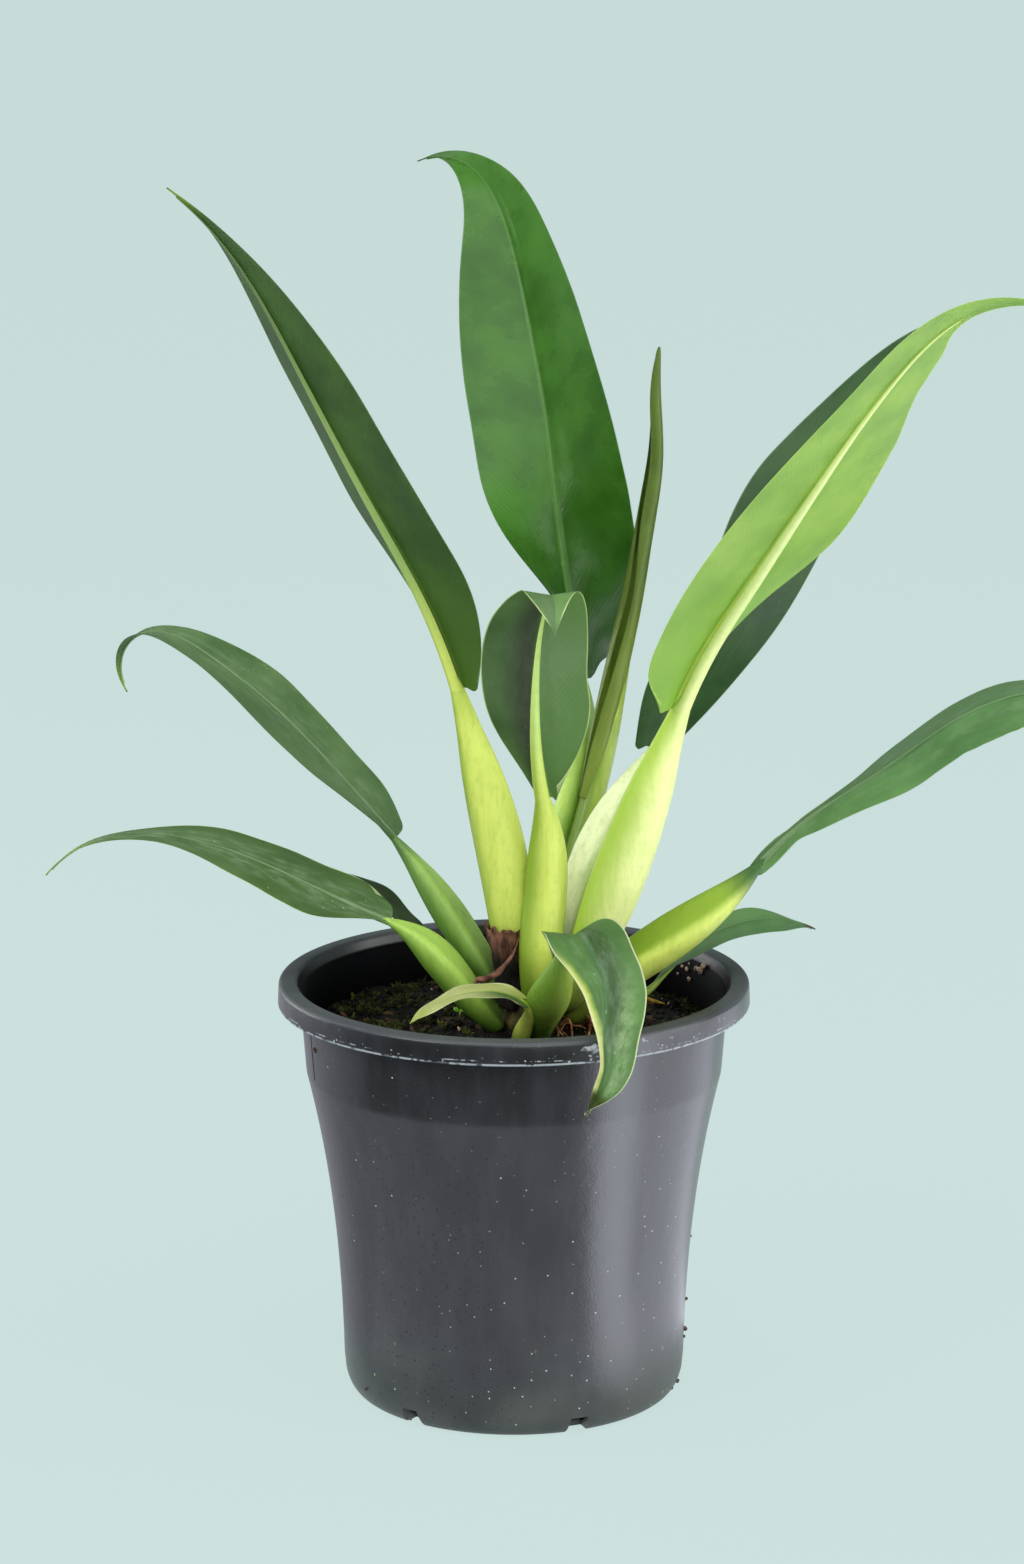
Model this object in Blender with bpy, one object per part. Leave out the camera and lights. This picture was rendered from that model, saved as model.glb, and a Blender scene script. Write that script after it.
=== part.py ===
"""Potted philodendron: a moulded nursery pot, its soil, a short crown and thirteen leaves.

Each leaf is a swollen stalk that leaves the crown and a blade that starts at the stalk's neck.
Lengths are in millimetres and angles in degrees, and are turned into metres as each mesh is made.
The pot's axis is +Z, and its flat underside stands at z = 0.
"""
import math

import bmesh
import bpy
from mathutils import Vector, noise

MM = 0.001
GAP = 0.3                   # left between pieces that touch

# Nursery pot
POT_HEIGHT = 180.0
RIM_RADIUS = 100.0          # outer foot of the turned-down rim
RIM_DROP = 10.0             # how far the rim's skirt hangs down
RIM_TOP_OUTER = 98.8
RIM_TOP_INNER = 91.6
SKIRT_WALL = 1.7
WALL = 1.6
FOOT_RADIUS = 66.0          # edge of the flat underside
CORNER_HEIGHT = 15.0        # where the rounded corner at the foot runs into the wall
CORNER_RADIUS = 73.0
KNEE_HEIGHT = 141.0         # where the waisted wall meets the straighter band below the rim
BAND_FOOT_RADIUS = 88.2
BAND_TOP_RADIUS = 91.2
FLOOR = 2.4
POT_SEGMENTS = 48
NOTCHES = 6
FIRST_NOTCH = -67.5         # heading of the notch to the right of the front
NOTCH_WIDTH = 9.0
NOTCH_HEIGHT = 5.0

# Soil
SOIL_LEVEL = 156.5
SOIL_ROUGHNESS = 1.6
SOIL_RINGS = (16.0, 30.0, 46.0, 62.0, 76.0, 84.0)
SOIL_SEGMENTS = 32

# Crown: the short stem that every stalk grows from
CROWN_CENTRE = (8.0, 0.0)
CROWN_RADIUS = 13.0
CROWN_BOTTOM = 138.0
CROWN_TOP = 175.0
CROWN_SEGMENTS = 16

# Stalks and blades
IN_SOIL = 165.0             # a stalk whose foot is lower than this stands in the soil
STALK_SIDES = 12
STALK_RINGS = 8
STALK_REACH = 0.36          # how far a stalk's two ends keep their direction, of its length
FLAT_TOP = 0.8              # height of a stalk's flat upper side, of its half width
BLADE_SEAT = 0.5            # height at which a blade's upper side meets the neck, of its half width
GROOVE = 0.22               # depth of the groove along it, of its half width
LONG_BLADE = 120.0          # a blade longer than this gets the larger number of rows
BLADE_ROWS = (10, 14)
BLADE_COLUMNS = 8
BLADE_THICKNESS = 0.8
TIP_HALF_WIDTH = 0.5
BLUNT_BASE = 0.05           # opens the blade's outline at the neck
LOBE_SPAN = 0.25            # part of a blade's length over which its base lobes sweep back
LOBE_CLEAR = 1.3            # distance from the midline that stays clear of them, of the neck's
NO_CURL = 0.006             # a blade that only folds still needs a curl above nought
RIB_TIP = 0.4               # half width of the midrib where it ends
RIB_TAPER = 1.3             # how early the midrib narrows
RIDGE_REACH = 1.2           # half width of the ridge beneath, of the midrib's
RIDGE_SHARE = 0.35          # and the most that it takes of the blade
RIDGE_DEPTH = 1.5           # how deep the ridge is, of the midrib's half width
STALK_COLOURS = {"lime": (0.36, 0.5, 0.05), "pale": (0.5, 0.55, 0.2), "green": (0.2, 0.32, 0.06)}
BLADE_COLOURS = {"dark": (0.03, 0.09, 0.03), "mid": (0.05, 0.17, 0.03), "grey": (0.06, 0.17, 0.06),
                 "lime": (0.2, 0.42, 0.04), "young": (0.12, 0.2, 0.03), "pied": (0.3, 0.42, 0.08)}

# Dried sheath: the torn brown sleeve left round the foot of one stalk
SHEATH_ROUND = "tall_left"
SHEATH_BESIDE = ("folded_front", "low_left", "mid_left", "tall_centre")
SHEATH_START = 0.06         # where it begins and ends, as parts of that stalk's length
SHEATH_END = 0.24
SHEATH_TEAR = 0.05          # how far its torn upper edge wanders
SHEATH_THICKNESS = 1.3

LEAVES = {
    # foot and neck: ends of the stalk. start: lean from upright and heading at the foot.
    # radii: half widths from foot to neck. heading, lean, roll: along the blade, evenly spaced.
    # fold: rise of each half from the midrib. curl: further bend of each half. lobe: how far the
    # base sweeps back. rise, fall: how the outline swells from the neck and narrows to the tip.
    # clasps: stalks that this one is hollowed to lie against.
    "over_rim": dict(
        look=("green", "pied"),
        foot=(11, -17, 157), neck=(21, -50, 205), start=(14, -84), radii=(3.4, 7.4, 9.2, 7.2, 2.8),
        length=103, width=34, heading=(-47, -70, -84, -117, -203), lean=(19, 105, 128, 137, 168, 160),
        roll=(4, -6), fold=14, lobe=5, rise=0.63, fall=0.92),
    "folded_front": dict(
        look=("lime", "grey"),
        foot=(9, -12, 170), neck=(12, -24, 263), start=(8, -75), radii=(5.0, 8.8, 8.8, 6.8, 3.0),
        length=145, width=43, heading=(-111, -81, -87), lean=(26, 24, 20, 38, 70, 170),
        roll=(-5, -4, 2), fold=19, lobe=2, rise=0.88, fall=1.15),
    "bright_right": dict(
        look=("lime", "lime"),
        foot=(21, -7, 168), neck=(66, -37, 305), start=(24, -28), radii=(5.0, 9.8, 11.8, 9.5, 4.2),
        length=272, width=78, heading=(-42, -54, -37, -18), lean=(26, 41, 41, 39, 51, 113),
        roll=(22, 6, -3, -22), fold=1, lobe=3, rise=0.5, fall=1.05),
    "tall_left": dict(
        look=("lime", "dark"),
        foot=(0, -3, 168), neck=(-22, -13, 308), start=(4, 0), radii=(5.5, 9.4, 11.0, 10.0, 3.0),
        length=255, width=60, heading=(213, 214, 213), lean=(19, 31, 30, 32, 53),
        roll=(-6, 0, 0), fold=11, lobe=7, rise=0.66, fall=1.2, clasps=("folded_front",)),
    "low_left": dict(
        look=("green", "grey"),
        foot=(-5, -6, 159), neck=(-62, -10, 214), start=(42, 187), radii=(4.0, 7.8, 9.4, 7.8, 2.6),
        length=147, width=44, heading=(172, 187, 197), lean=(70, 66, 74, 94, 147),
        roll=(-17, -6, 23), fold=-1, lobe=8, rise=0.7, fall=1.02),
    "right_mid": dict(
        look=("lime", "grey"),
        foot=(22, -1, 161), neck=(103, -1, 229), start=(44, -2), radii=(4.0, 9.5, 11.4, 9.4, 2.6),
        length=188, width=48, heading=(13, 6, 2), lean=(44, 58, 56, 82, 99),
        roll=(-5, 5, 12), fold=-7, lobe=6, rise=0.9, fall=0.83, clasps=("bright_right",)),
    "pale_front": dict(
        look=("pale", "lime"),
        foot=(0, -20, 157), neck=(2, -38, 180), start=(20, -86), radii=(3.4, 3.4, 3.0, 2.3, 1.2),
        length=57, width=16, heading=(-158, -147, -141), lean=(55, 84, 101, 121),
        roll=(-22, -1, -6), fold=2, lobe=3, rise=0.44, fall=0.96, clasps=("over_rim",)),
    "dark_right": dict(
        look=("pale", "dark"),
        foot=(22, 5, 170), neck=(60, 34, 271), start=(2, 30), radii=(4.5, 8.2, 11.4, 9.5, 3.0),
        length=227, width=53, heading=(39, 40, 37), lean=(43, 43, 37, 42, 52),
        roll=(5, 10, 2), fold=16, lobe=1, rise=0.62, fall=0.9),
    "mid_left": dict(
        look=("green", "grey"),
        foot=(-2, 5, 167), neck=(-53, 26, 238), start=(36, 160), radii=(3.6, 7.2, 7.8, 6.8, 2.6),
        length=175, width=41, heading=(156, 157, 152), lean=(46, 47, 56, 79, 214),
        roll=(8, -4, -2), fold=9, lobe=8, rise=0.46, fall=1.08),
    "young_roll": dict(
        look=("pale", "young"),
        foot=(9, 12, 170), neck=(41, 42, 284), start=(22, 50), radii=(3.5, 4.2, 5.4, 5.6, 5.2),
        length=160, width=30, heading=(20, 16, 15, 15), lean=(11, 11, 9, 1),
        roll=(5, 60, 10, 0), fold=0, curl=168, lobe=0, rise=0.06, fall=0.5,
        clasps=("tall_centre",)),
    "tall_centre": dict(
        look=("green", "mid"),
        foot=(3, 14, 168), neck=(29, 62, 296), start=(28, 80), radii=(4.5, 6.5, 7.6, 7.6, 3.2),
        length=275, width=62, heading=(123, 108, 118, 138), lean=(21, 18, 28, 34, 110),
        roll=(36, -22, -41, -26), fold=26, lobe=12, rise=0.78, fall=1.28),
    "right_low": dict(
        look=("pale", "dark"),
        foot=(20, 10, 157), neck=(62, 15, 175), start=(60, 0), radii=(2.0, 2.6, 2.6, 2.3, 1.4),
        length=76, width=31, heading=(13, 1, 15), lean=(42, 58, 84, 119),
        roll=(-15, 5, 4), fold=1, lobe=3, rise=0.64, fall=0.91),
    "back_left": dict(
        look=("green", "dark"),
        foot=(0, 11, 158), neck=(-39, 29, 190), start=(60, 150), radii=(3.0, 4.2, 4.2, 3.5, 1.8),
        length=58, width=21, heading=(151, 151), lean=(68, 54, 72, 108),
        roll=(10, 8, 0), fold=11, lobe=2, rise=0.65, fall=0.9),
}


def clear_scene():
    for thing in list(bpy.data.objects):
        bpy.data.objects.remove(thing, do_unlink=True)


def material(name, colour, roughness):
    made = bpy.data.materials.new(name)
    made.use_nodes = True
    shader = made.node_tree.nodes["Principled BSDF"]
    shader.inputs["Base Color"].default_value = (*colour, 1.0)
    shader.inputs["Roughness"].default_value = roughness
    shader.inputs["Metallic"].default_value = 0.0
    return made


def finish(name, bm, look):
    """Turn a bmesh in millimetres into a named object in metres."""
    bmesh.ops.scale(bm, vec=(MM, MM, MM), verts=bm.verts)
    bmesh.ops.recalc_face_normals(bm, faces=bm.faces)
    mesh = bpy.data.meshes.new(name)
    bm.to_mesh(mesh)
    bm.free()
    mesh.materials.append(look)
    mesh.shade_smooth()
    mesh.set_sharp_from_angle(angle=math.radians(40))
    made = bpy.data.objects.new(name, mesh)
    bpy.context.collection.objects.link(made)
    return made


def cut(target, cutters):
    """Cut the cutters out of the target and keep them as hidden wire shapes."""
    for cutter in cutters:
        cutter.hide_render = True
        cutter.display_type = "WIRE"
        boolean = target.modifiers.new("Cut " + cutter.name, "BOOLEAN")
        boolean.operation = "DIFFERENCE"
        boolean.solver = "EXACT"
        boolean.object = cutter


def turned(profile, segments):
    """Spin a profile of (radius, height) points, both ends on the axis, into a closed body."""
    bm = bmesh.new()
    points = [bm.verts.new((radius, 0, height)) for radius, height in profile]
    edges = [bm.edges.new(pair) for pair in zip(points, points[1:])]
    bmesh.ops.spin(bm, geom=points + edges, axis=(0, 0, 1), cent=(0, 0, 0), steps=segments,
                   angle=math.tau, use_merge=True)
    bmesh.ops.remove_doubles(bm, verts=bm.verts, dist=0.001)
    return bm


def wall_radius(height):
    """Outer radius of the pot: waisted up to the knee, then the straighter band."""
    if height > KNEE_HEIGHT:
        along_band = (height - KNEE_HEIGHT) / (POT_HEIGHT - KNEE_HEIGHT)
        return BAND_FOOT_RADIUS + (BAND_TOP_RADIUS - BAND_FOOT_RADIUS) * along_band
    climb = max(0.0, (height - CORNER_HEIGHT) / (KNEE_HEIGHT - CORNER_HEIGHT))
    sweep = BAND_FOOT_RADIUS - CORNER_RADIUS
    return CORNER_RADIUS + sweep * (0.2 * climb + 0.8 * climb ** 2.3)


def pot_profile():
    """The pot's section from the middle of the underside, round the rim, to the floor inside."""
    corner = [(FOOT_RADIUS + (CORNER_RADIUS - FOOT_RADIUS) * math.sin(a) ** 0.9,
               CORNER_HEIGHT * (1 - math.cos(a))) for a in (0.35, 0.7, 1.1)]
    heights = (15, 45, 75, 98, 116, 130, 141, 160)
    outside = [(wall_radius(z), z) for z in heights]
    top_gap = POT_HEIGHT - 2.2
    skirt_foot = POT_HEIGHT - RIM_DROP
    rim = [(wall_radius(top_gap), top_gap), (RIM_RADIUS - SKIRT_WALL - 1.0, top_gap),
           (RIM_RADIUS - SKIRT_WALL, skirt_foot), (RIM_RADIUS, skirt_foot),
           (RIM_RADIUS - 0.3, POT_HEIGHT - 2.0), (RIM_TOP_OUTER, POT_HEIGHT - 0.4),
           (RIM_TOP_OUTER - 1.2, POT_HEIGHT), (RIM_TOP_INNER + 1.2, POT_HEIGHT),
           (RIM_TOP_INNER, POT_HEIGHT - 1.0)]
    inside = [(wall_radius(z) - WALL, z) for z in reversed((20,) + heights[1:])]
    floor = [(CORNER_RADIUS - WALL - 2.5, FLOOR + 3.5), (FOOT_RADIUS - 3, FLOOR), (0, FLOOR)]
    return [(0, 0), (FOOT_RADIUS, 0)] + corner + outside + rim + inside + floor


def notch_cutter(number):
    """A trapezoid block that takes one drainage notch out of the pot's lower corner."""
    bm = bmesh.new()
    bmesh.ops.create_cube(bm, size=1.0)
    length = 20.0
    for vert in bm.verts:
        taper = 1.0 if vert.co.z < 0 else 0.7
        vert.co = Vector((FOOT_RADIUS + 5 + vert.co.x * length, vert.co.y * NOTCH_WIDTH * taper,
                          NOTCH_HEIGHT / 2 - 1 + vert.co.z * (NOTCH_HEIGHT + 2)))
    turn = math.radians(FIRST_NOTCH + number * 360 / NOTCHES)
    for vert in bm.verts:
        x, y = vert.co.x, vert.co.y
        vert.co.x = x * math.cos(turn) - y * math.sin(turn)
        vert.co.y = x * math.sin(turn) + y * math.cos(turn)
    return bm


def build_pot():
    plastic = material("pot_plastic", (0.045, 0.048, 0.055), 0.42)
    pot = finish("pot", turned(pot_profile(), POT_SEGMENTS), plastic)
    cut(pot, [finish(f"notch_{number}", notch_cutter(number), plastic) for number in range(NOTCHES)])
    return pot


def soil_height(x, y):
    """Height of the uneven soil surface over a point of the pot's mouth."""
    mound = 2.0 * math.exp(-((x - CROWN_CENTRE[0]) ** 2 + y ** 2) / 900)
    return SOIL_LEVEL + mound + SOIL_ROUGHNESS * noise.noise(Vector((x, y, 0)) * 0.07)


def build_soil(stem_cutters):
    earth = material("potting_soil", (0.035, 0.026, 0.018), 0.95)
    below = [(wall_radius(z) - WALL - GAP, z) for z in (22, 45, 75, 98, 116, 130, 141)]
    edge = (wall_radius(SOIL_LEVEL) - WALL - GAP, SOIL_LEVEL)
    top = [(radius, SOIL_LEVEL) for radius in reversed(SOIL_RINGS)]
    foot = [(0, FLOOR + GAP), (FOOT_RADIUS - 4, FLOOR + GAP), (CORNER_RADIUS - WALL - 3, FLOOR + 4.2)]
    bm = turned(foot + below + [edge] + top + [(0, SOIL_LEVEL)], SOIL_SEGMENTS)
    for vert in bm.verts:
        if vert.co.z > SOIL_LEVEL - 1 and vert.co.xy.length < edge[0] - 1:
            vert.co.z = soil_height(vert.co.x, vert.co.y)
    soil = finish("soil", bm, earth)
    cut(soil, stem_cutters)
    return soil


def crown_mesh(swell):
    """The short stem: a rounded stub, fattened by swell where it serves as a cutter."""
    radius = CROWN_RADIUS + swell
    bottom = CROWN_BOTTOM - swell
    top = CROWN_TOP + swell
    profile = [(0, bottom), (radius * 0.75, bottom), (radius, bottom + 5), (radius, top - 13),
               (radius * 0.86, top - 5), (radius * 0.5, top - 1), (0, top)]
    bm = turned(profile, CROWN_SEGMENTS)
    bmesh.ops.translate(bm, vec=(*CROWN_CENTRE, 0), verts=bm.verts)
    return bm


def along(keys, t):
    """Smooth curve through evenly spaced keys, read at t from 0 to 1."""
    last = len(keys) - 1
    step = min(int(t * last), last - 1)
    f = t * last - step
    b, c = keys[step], keys[step + 1]
    a = keys[step - 1] if step > 0 else 2 * b - c
    d = keys[step + 2] if step + 2 <= last else 2 * c - b
    return b + 0.5 * f * (c - a + f * (2 * a - 5 * b + 4 * c - d + f * (3 * (b - c) + d - a)))


def pointing(lean, heading):
    """Unit vector at an angle from upright, turned to a heading from +X."""
    lean, heading = math.radians(lean), math.radians(heading)
    flat = math.sin(lean)
    return Vector((flat * math.cos(heading), flat * math.sin(heading), math.cos(lean)))


def stalk_section(leaf, t):
    """Centre, upward and sideways directions and half width of a stalk at t along it."""
    foot, neck = Vector(leaf["foot"]), Vector(leaf["neck"])
    reach = (neck - foot).length * STALK_REACH
    a = foot + pointing(*leaf["start"]) * reach
    b = neck - pointing(leaf["lean"][0], leaf["heading"][0]) * reach
    s = 1 - t
    centre = foot * s ** 3 + 3 * a * t * s * s + 3 * b * t * t * s + neck * t ** 3
    ahead = ((a - foot) * s * s + 2 * (b - a) * t * s + (neck - b) * t * t).normalized()
    heading = math.radians(leaf["heading"][0])
    hinge = Vector((math.sin(heading), -math.cos(heading), 0))
    side = (hinge - ahead * hinge.dot(ahead)).normalized()
    up = side.cross(ahead)
    roll = math.radians(leaf["roll"][0] * t)
    up, side = up * math.cos(roll) + side * math.sin(roll), side * math.cos(roll) - up * math.sin(roll)
    return centre, up, side, along(leaf["radii"], t)


def stalk_point(leaf, t, angle, swell):
    """A point of a stalk's skin: round beneath, flat and grooved above."""
    centre, up, side, radius = stalk_section(leaf, t)
    rise = math.sin(angle)
    if rise > 0:
        rise = FLAT_TOP * rise - GROOVE * rise ** 4
    return centre + (radius + swell) * (side * math.cos(angle) + up * rise)


def stalk_mesh(leaf, swell):
    """A swollen stalk as a loft of rings, fattened by swell where it serves as a cutter."""
    bm = bmesh.new()
    rings = []
    overrun = swell / (Vector(leaf["neck"]) - Vector(leaf["foot"])).length
    for number in range(STALK_RINGS + 1):
        t = (number / STALK_RINGS) * (1 + 2 * overrun) - overrun
        rings.append([bm.verts.new(stalk_point(leaf, t, math.tau * step / STALK_SIDES, swell))
                      for step in range(STALK_SIDES)])
    bm.faces.new(rings[0])
    bm.faces.new(rings[-1])
    for low, high in zip(rings, rings[1:]):
        for step in range(STALK_SIDES):
            after = (step + 1) % STALK_SIDES
            bm.faces.new((low[step], low[after], high[after], high[step]))
    return bm


def sheath_mesh():
    """A sleeve that follows the stalk it wraps, with an uneven torn edge above."""
    stalk = LEAVES[SHEATH_ROUND]
    bm = bmesh.new()
    rings = []
    for inside, place in ((0, 0), (0, 0.5), (0, 1), (1, 1), (1, 0.5), (1, 0)):
        swell = GAP if inside else GAP + SHEATH_THICKNESS
        ring = []
        for step in range(STALK_SIDES):
            angle = math.tau * step / STALK_SIDES
            end = SHEATH_END + SHEATH_TEAR * math.sin(2 * angle + 1)
            t = SHEATH_START + (end - SHEATH_START) * place
            ring.append(bm.verts.new(stalk_point(stalk, t, angle, swell)))
        rings.append(ring)
    for ring, after in zip(rings, rings[1:] + rings[:1]):
        for step in range(STALK_SIDES):
            turn = (step + 1) % STALK_SIDES
            bm.faces.new((ring[step], ring[turn], after[turn], after[step]))
    return bm


def half_width(leaf, t):
    """Half the width of a blade at t from its neck to its tip."""
    rise, fall = leaf["rise"], leaf["fall"]
    widest = rise / (rise + fall)
    shape = ((t + BLUNT_BASE) / widest) ** rise * ((1 - t) / (1 - widest)) ** fall
    return max(TIP_HALF_WIDTH, leaf["width"] / 2 * shape)


def blade_spine(leaf, steps):
    """Points down the middle of a blade, each with its ahead, up and side directions."""
    spine = []
    point = Vector(leaf["neck"])
    fine = 8
    for number in range(steps * fine + 1):
        t = number / (steps * fine)
        lean, heading = along(leaf["lean"], t), along(leaf["heading"], t)
        ahead = pointing(lean, heading)
        if number % fine == 0:
            up = -pointing(lean + 90, heading)
            side = ahead.cross(up)
            roll = math.radians(along(leaf["roll"], t))
            spine.append((point.copy(), ahead, up * math.cos(roll) + side * math.sin(roll),
                          side * math.cos(roll) - up * math.sin(roll)))
        point += ahead * leaf["length"] / (steps * fine)
    return spine


def rib_width(leaf, t):
    """Half the width of the midrib, which starts as wide as the stalk's neck."""
    return RIB_TIP + (leaf["radii"][-1] - RIB_TIP) * (1 - t) ** RIB_TAPER


def reach_across(leaf, t, column):
    """How far a column of points lies from the midline: the first one edges the midrib."""
    half = half_width(leaf, t)
    rib_half = min(RIDGE_REACH * rib_width(leaf, t), RIDGE_SHARE * half)
    outer = max(0, column - 1) / (BLADE_COLUMNS / 2 - 1)
    return rib_half * min(1, column) + (half - rib_half) * outer


def sweep_back(leaf, t, reach):
    """How far a base lobe reaches back past the neck, which it leaves clear."""
    clear = LOBE_CLEAR * leaf["radii"][-1]
    share = max(0.0, reach - clear) / max(half_width(leaf, t) - clear, 1.0)
    return leaf["lobe"] * max(0.0, 1 - t / LOBE_SPAN) ** 2 * share ** 1.5


def blade_point(leaf, t, column, under, frame):
    """A point of a blade's upper face or, a thickness below it, of its underside."""
    point, ahead, up, side = frame
    half = half_width(leaf, t)
    rib = rib_width(leaf, t)
    reach = reach_across(leaf, t, abs(column))
    fold = math.radians(leaf["fold"])
    curl = math.radians(leaf.get("curl", NO_CURL))
    bend = fold + curl * reach / half
    sideways = half * (math.sin(bend) - math.sin(fold)) / curl
    upwards = half * (math.cos(fold) - math.cos(bend)) / curl + BLADE_SEAT * rib
    if curl > math.pi / 2:
        upwards -= half / curl
    if under:
        ridge = max(0.0, 1 - reach / (RIDGE_REACH * rib))
        depth = BLADE_THICKNESS + ridge * max(0.0, RIDGE_DEPTH * rib - BLADE_THICKNESS)
        sideways += math.sin(bend) * depth
        upwards -= math.cos(bend) * depth
    sideways *= (column > 0) - (column < 0)
    return point + side * sideways + up * upwards + ahead * (GAP - sweep_back(leaf, t, reach))


def blade_mesh(leaf):
    """A blade as a thin slab: a triangulated grid given thickness, then bent to the leaf's form."""
    bm = bmesh.new()
    rows = BLADE_ROWS[leaf["length"] > LONG_BLADE]
    bmesh.ops.create_grid(bm, x_segments=BLADE_COLUMNS, y_segments=rows, size=1.0)
    bmesh.ops.triangulate(bm, faces=bm.faces)
    copied = bmesh.ops.extrude_face_region(bm, geom=bm.faces[:], use_keep_orig=True)
    lower = {piece for piece in copied["geom"] if isinstance(piece, bmesh.types.BMVert)}
    spine = blade_spine(leaf, rows)
    for vert in bm.verts:
        row = round((vert.co.y + 1) / 2 * rows)
        column = round(vert.co.x * BLADE_COLUMNS / 2)
        vert.co = blade_point(leaf, row / rows, column, vert in lower, spine[row])
    return bm


def build_leaf(name, leaf, cutters):
    stalk_look, blade_look = leaf["look"]
    green = material(f"{name}_stalk_{stalk_look}", STALK_COLOURS[stalk_look], 0.4)
    stalk = finish(f"{name}_stalk", stalk_mesh(leaf, 0), green)
    cut(stalk, [cutters["crown"]] + [cutters[other] for other in leaf.get("clasps", ())])
    leaf_green = material(f"{name}_blade_{blade_look}", BLADE_COLOURS[blade_look], 0.35)
    finish(f"{name}_blade", blade_mesh(leaf), leaf_green)


def stands_in_soil(name):
    return LEAVES[name]["foot"][2] < IN_SOIL


def build_cutters(look):
    """Fattened copies of the crown and of every stalk that another piece makes room for."""
    cutters = {"crown": finish("crown_cutter", crown_mesh(GAP), look)}
    clasped = {other for leaf in LEAVES.values() for other in leaf.get("clasps", ())}
    clasped.update(SHEATH_BESIDE)
    for name, leaf in LEAVES.items():
        if name in clasped or stands_in_soil(name):
            cutters[name] = finish(f"{name}_cutter", stalk_mesh(leaf, GAP), look)
    return cutters


def build_sheath(cutters):
    brown = material("dried_sheath_brown", (0.2, 0.12, 0.06), 0.8)
    sheath = finish("dried_sheath", sheath_mesh(), brown)
    cut(sheath, [cutters["crown"]] + [cutters[name] for name in SHEATH_BESIDE])


def main():
    clear_scene()
    crown_look = material("crown_stem", (0.16, 0.13, 0.05), 0.7)
    cutters = build_cutters(crown_look)
    build_pot()
    build_soil([cutters["crown"]] + [cutters[name] for name in LEAVES if stands_in_soil(name)])
    finish("crown", crown_mesh(0), crown_look)
    for name, leaf in LEAVES.items():
        build_leaf(name, leaf, cutters)
    build_sheath(cutters)


main()
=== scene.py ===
"""Potted philodendron: the finished surfaces of its pot, soil, stalks and leaves.

Pieces are modelled in millimetres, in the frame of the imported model, and scaled to metres as they
are finished. The pot's axis is +Z, and the viewer stands on the -Y side.
"""
import math
import random

import bmesh
import bpy
from mathutils import Matrix, Vector, noise


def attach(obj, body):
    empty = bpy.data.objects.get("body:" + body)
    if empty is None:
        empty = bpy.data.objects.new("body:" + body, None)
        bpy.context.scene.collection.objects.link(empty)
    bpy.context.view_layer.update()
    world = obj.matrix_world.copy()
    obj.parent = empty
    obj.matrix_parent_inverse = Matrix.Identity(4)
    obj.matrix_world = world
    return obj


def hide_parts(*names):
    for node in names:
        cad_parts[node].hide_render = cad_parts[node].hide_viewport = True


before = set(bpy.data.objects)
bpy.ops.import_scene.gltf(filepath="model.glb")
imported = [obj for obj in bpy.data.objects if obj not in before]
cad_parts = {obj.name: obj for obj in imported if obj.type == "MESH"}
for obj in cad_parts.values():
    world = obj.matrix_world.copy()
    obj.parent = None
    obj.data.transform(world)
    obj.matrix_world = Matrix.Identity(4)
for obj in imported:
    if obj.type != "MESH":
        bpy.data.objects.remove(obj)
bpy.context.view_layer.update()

# The pot is one moulding of charcoal plastic: a flat foot with six drainage notches, a waisted
# wall and a rim turned down into a short skirt. It is satin, and stained by hard water.
MM = 0.001
RIM_RADIUS = 100.0
RIM_HEIGHT = 180.0
SKIRT_FOOT = 170.0
SKIRT_WALL = 1.8
WALL = 1.6
FLOOR = 2.4
FOOT_RADIUS = 66.0
CORNER = (73.0, 15.0)       # radius and height where the rounded corner meets the wall
KNEE = (88.2, 141.0)        # radius and height where the waisted wall meets the band
BAND_TOP_RADIUS = 91.2
LIP_INNER_RADIUS = 91.6
POT_SEGMENTS = 168
POT_CREASE = 35             # angle in degrees from which the pot's edges are sharp
NOTCHES = 6
FIRST_NOTCH = -67.5         # heading of the notch to the right of the front
SEAM = (0.35, 0.4, 24.0)    # size of the mould's parting line under the rim
SEAM_HEADING = 198.8
SEAM_HEIGHT = 155
LIMESCALE = 0.0012          # width of the white line along the skirt's lower edge, in metres


def paint(red, green, blue):
    """A colour named by its 0 to 255 values, as the shader's linear light."""
    return tuple((part / 255) ** 2.2 for part in (red, green, blue)) + (1.0,)


class Wire:
    """A socket of a material, on which sums are written as in Python."""

    def __init__(self, look, socket):
        self.look = look
        self.socket = socket

    def maths(self, operation, first, second=0.0):
        return self.look.node("ShaderNodeMath", {"operation": operation}, {0: first, 1: second})

    def __add__(self, other):
        return self.maths("ADD", self, other)

    def __sub__(self, other):
        return self.maths("SUBTRACT", self, other)

    def __rsub__(self, other):
        return self.maths("SUBTRACT", other, self)

    def __mul__(self, other):
        return self.maths("MULTIPLY", self, other)

    def __abs__(self):
        return self.maths("ABSOLUTE", self)

    __radd__ = __add__

    def sine(self):
        return self.maths("SINE", self)

    def root(self):
        return self.maths("SQRT", self)

    def rises(self, low, high):
        """0 below low, 1 above high and smooth between."""
        ends = {"Value": self, "From Min": low, "From Max": high}
        return self.look.node("ShaderNodeMapRange", {"interpolation_type": "SMOOTHSTEP"}, ends)

    def falls(self, low, high):
        return 1 - self.rises(low, high)


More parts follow.
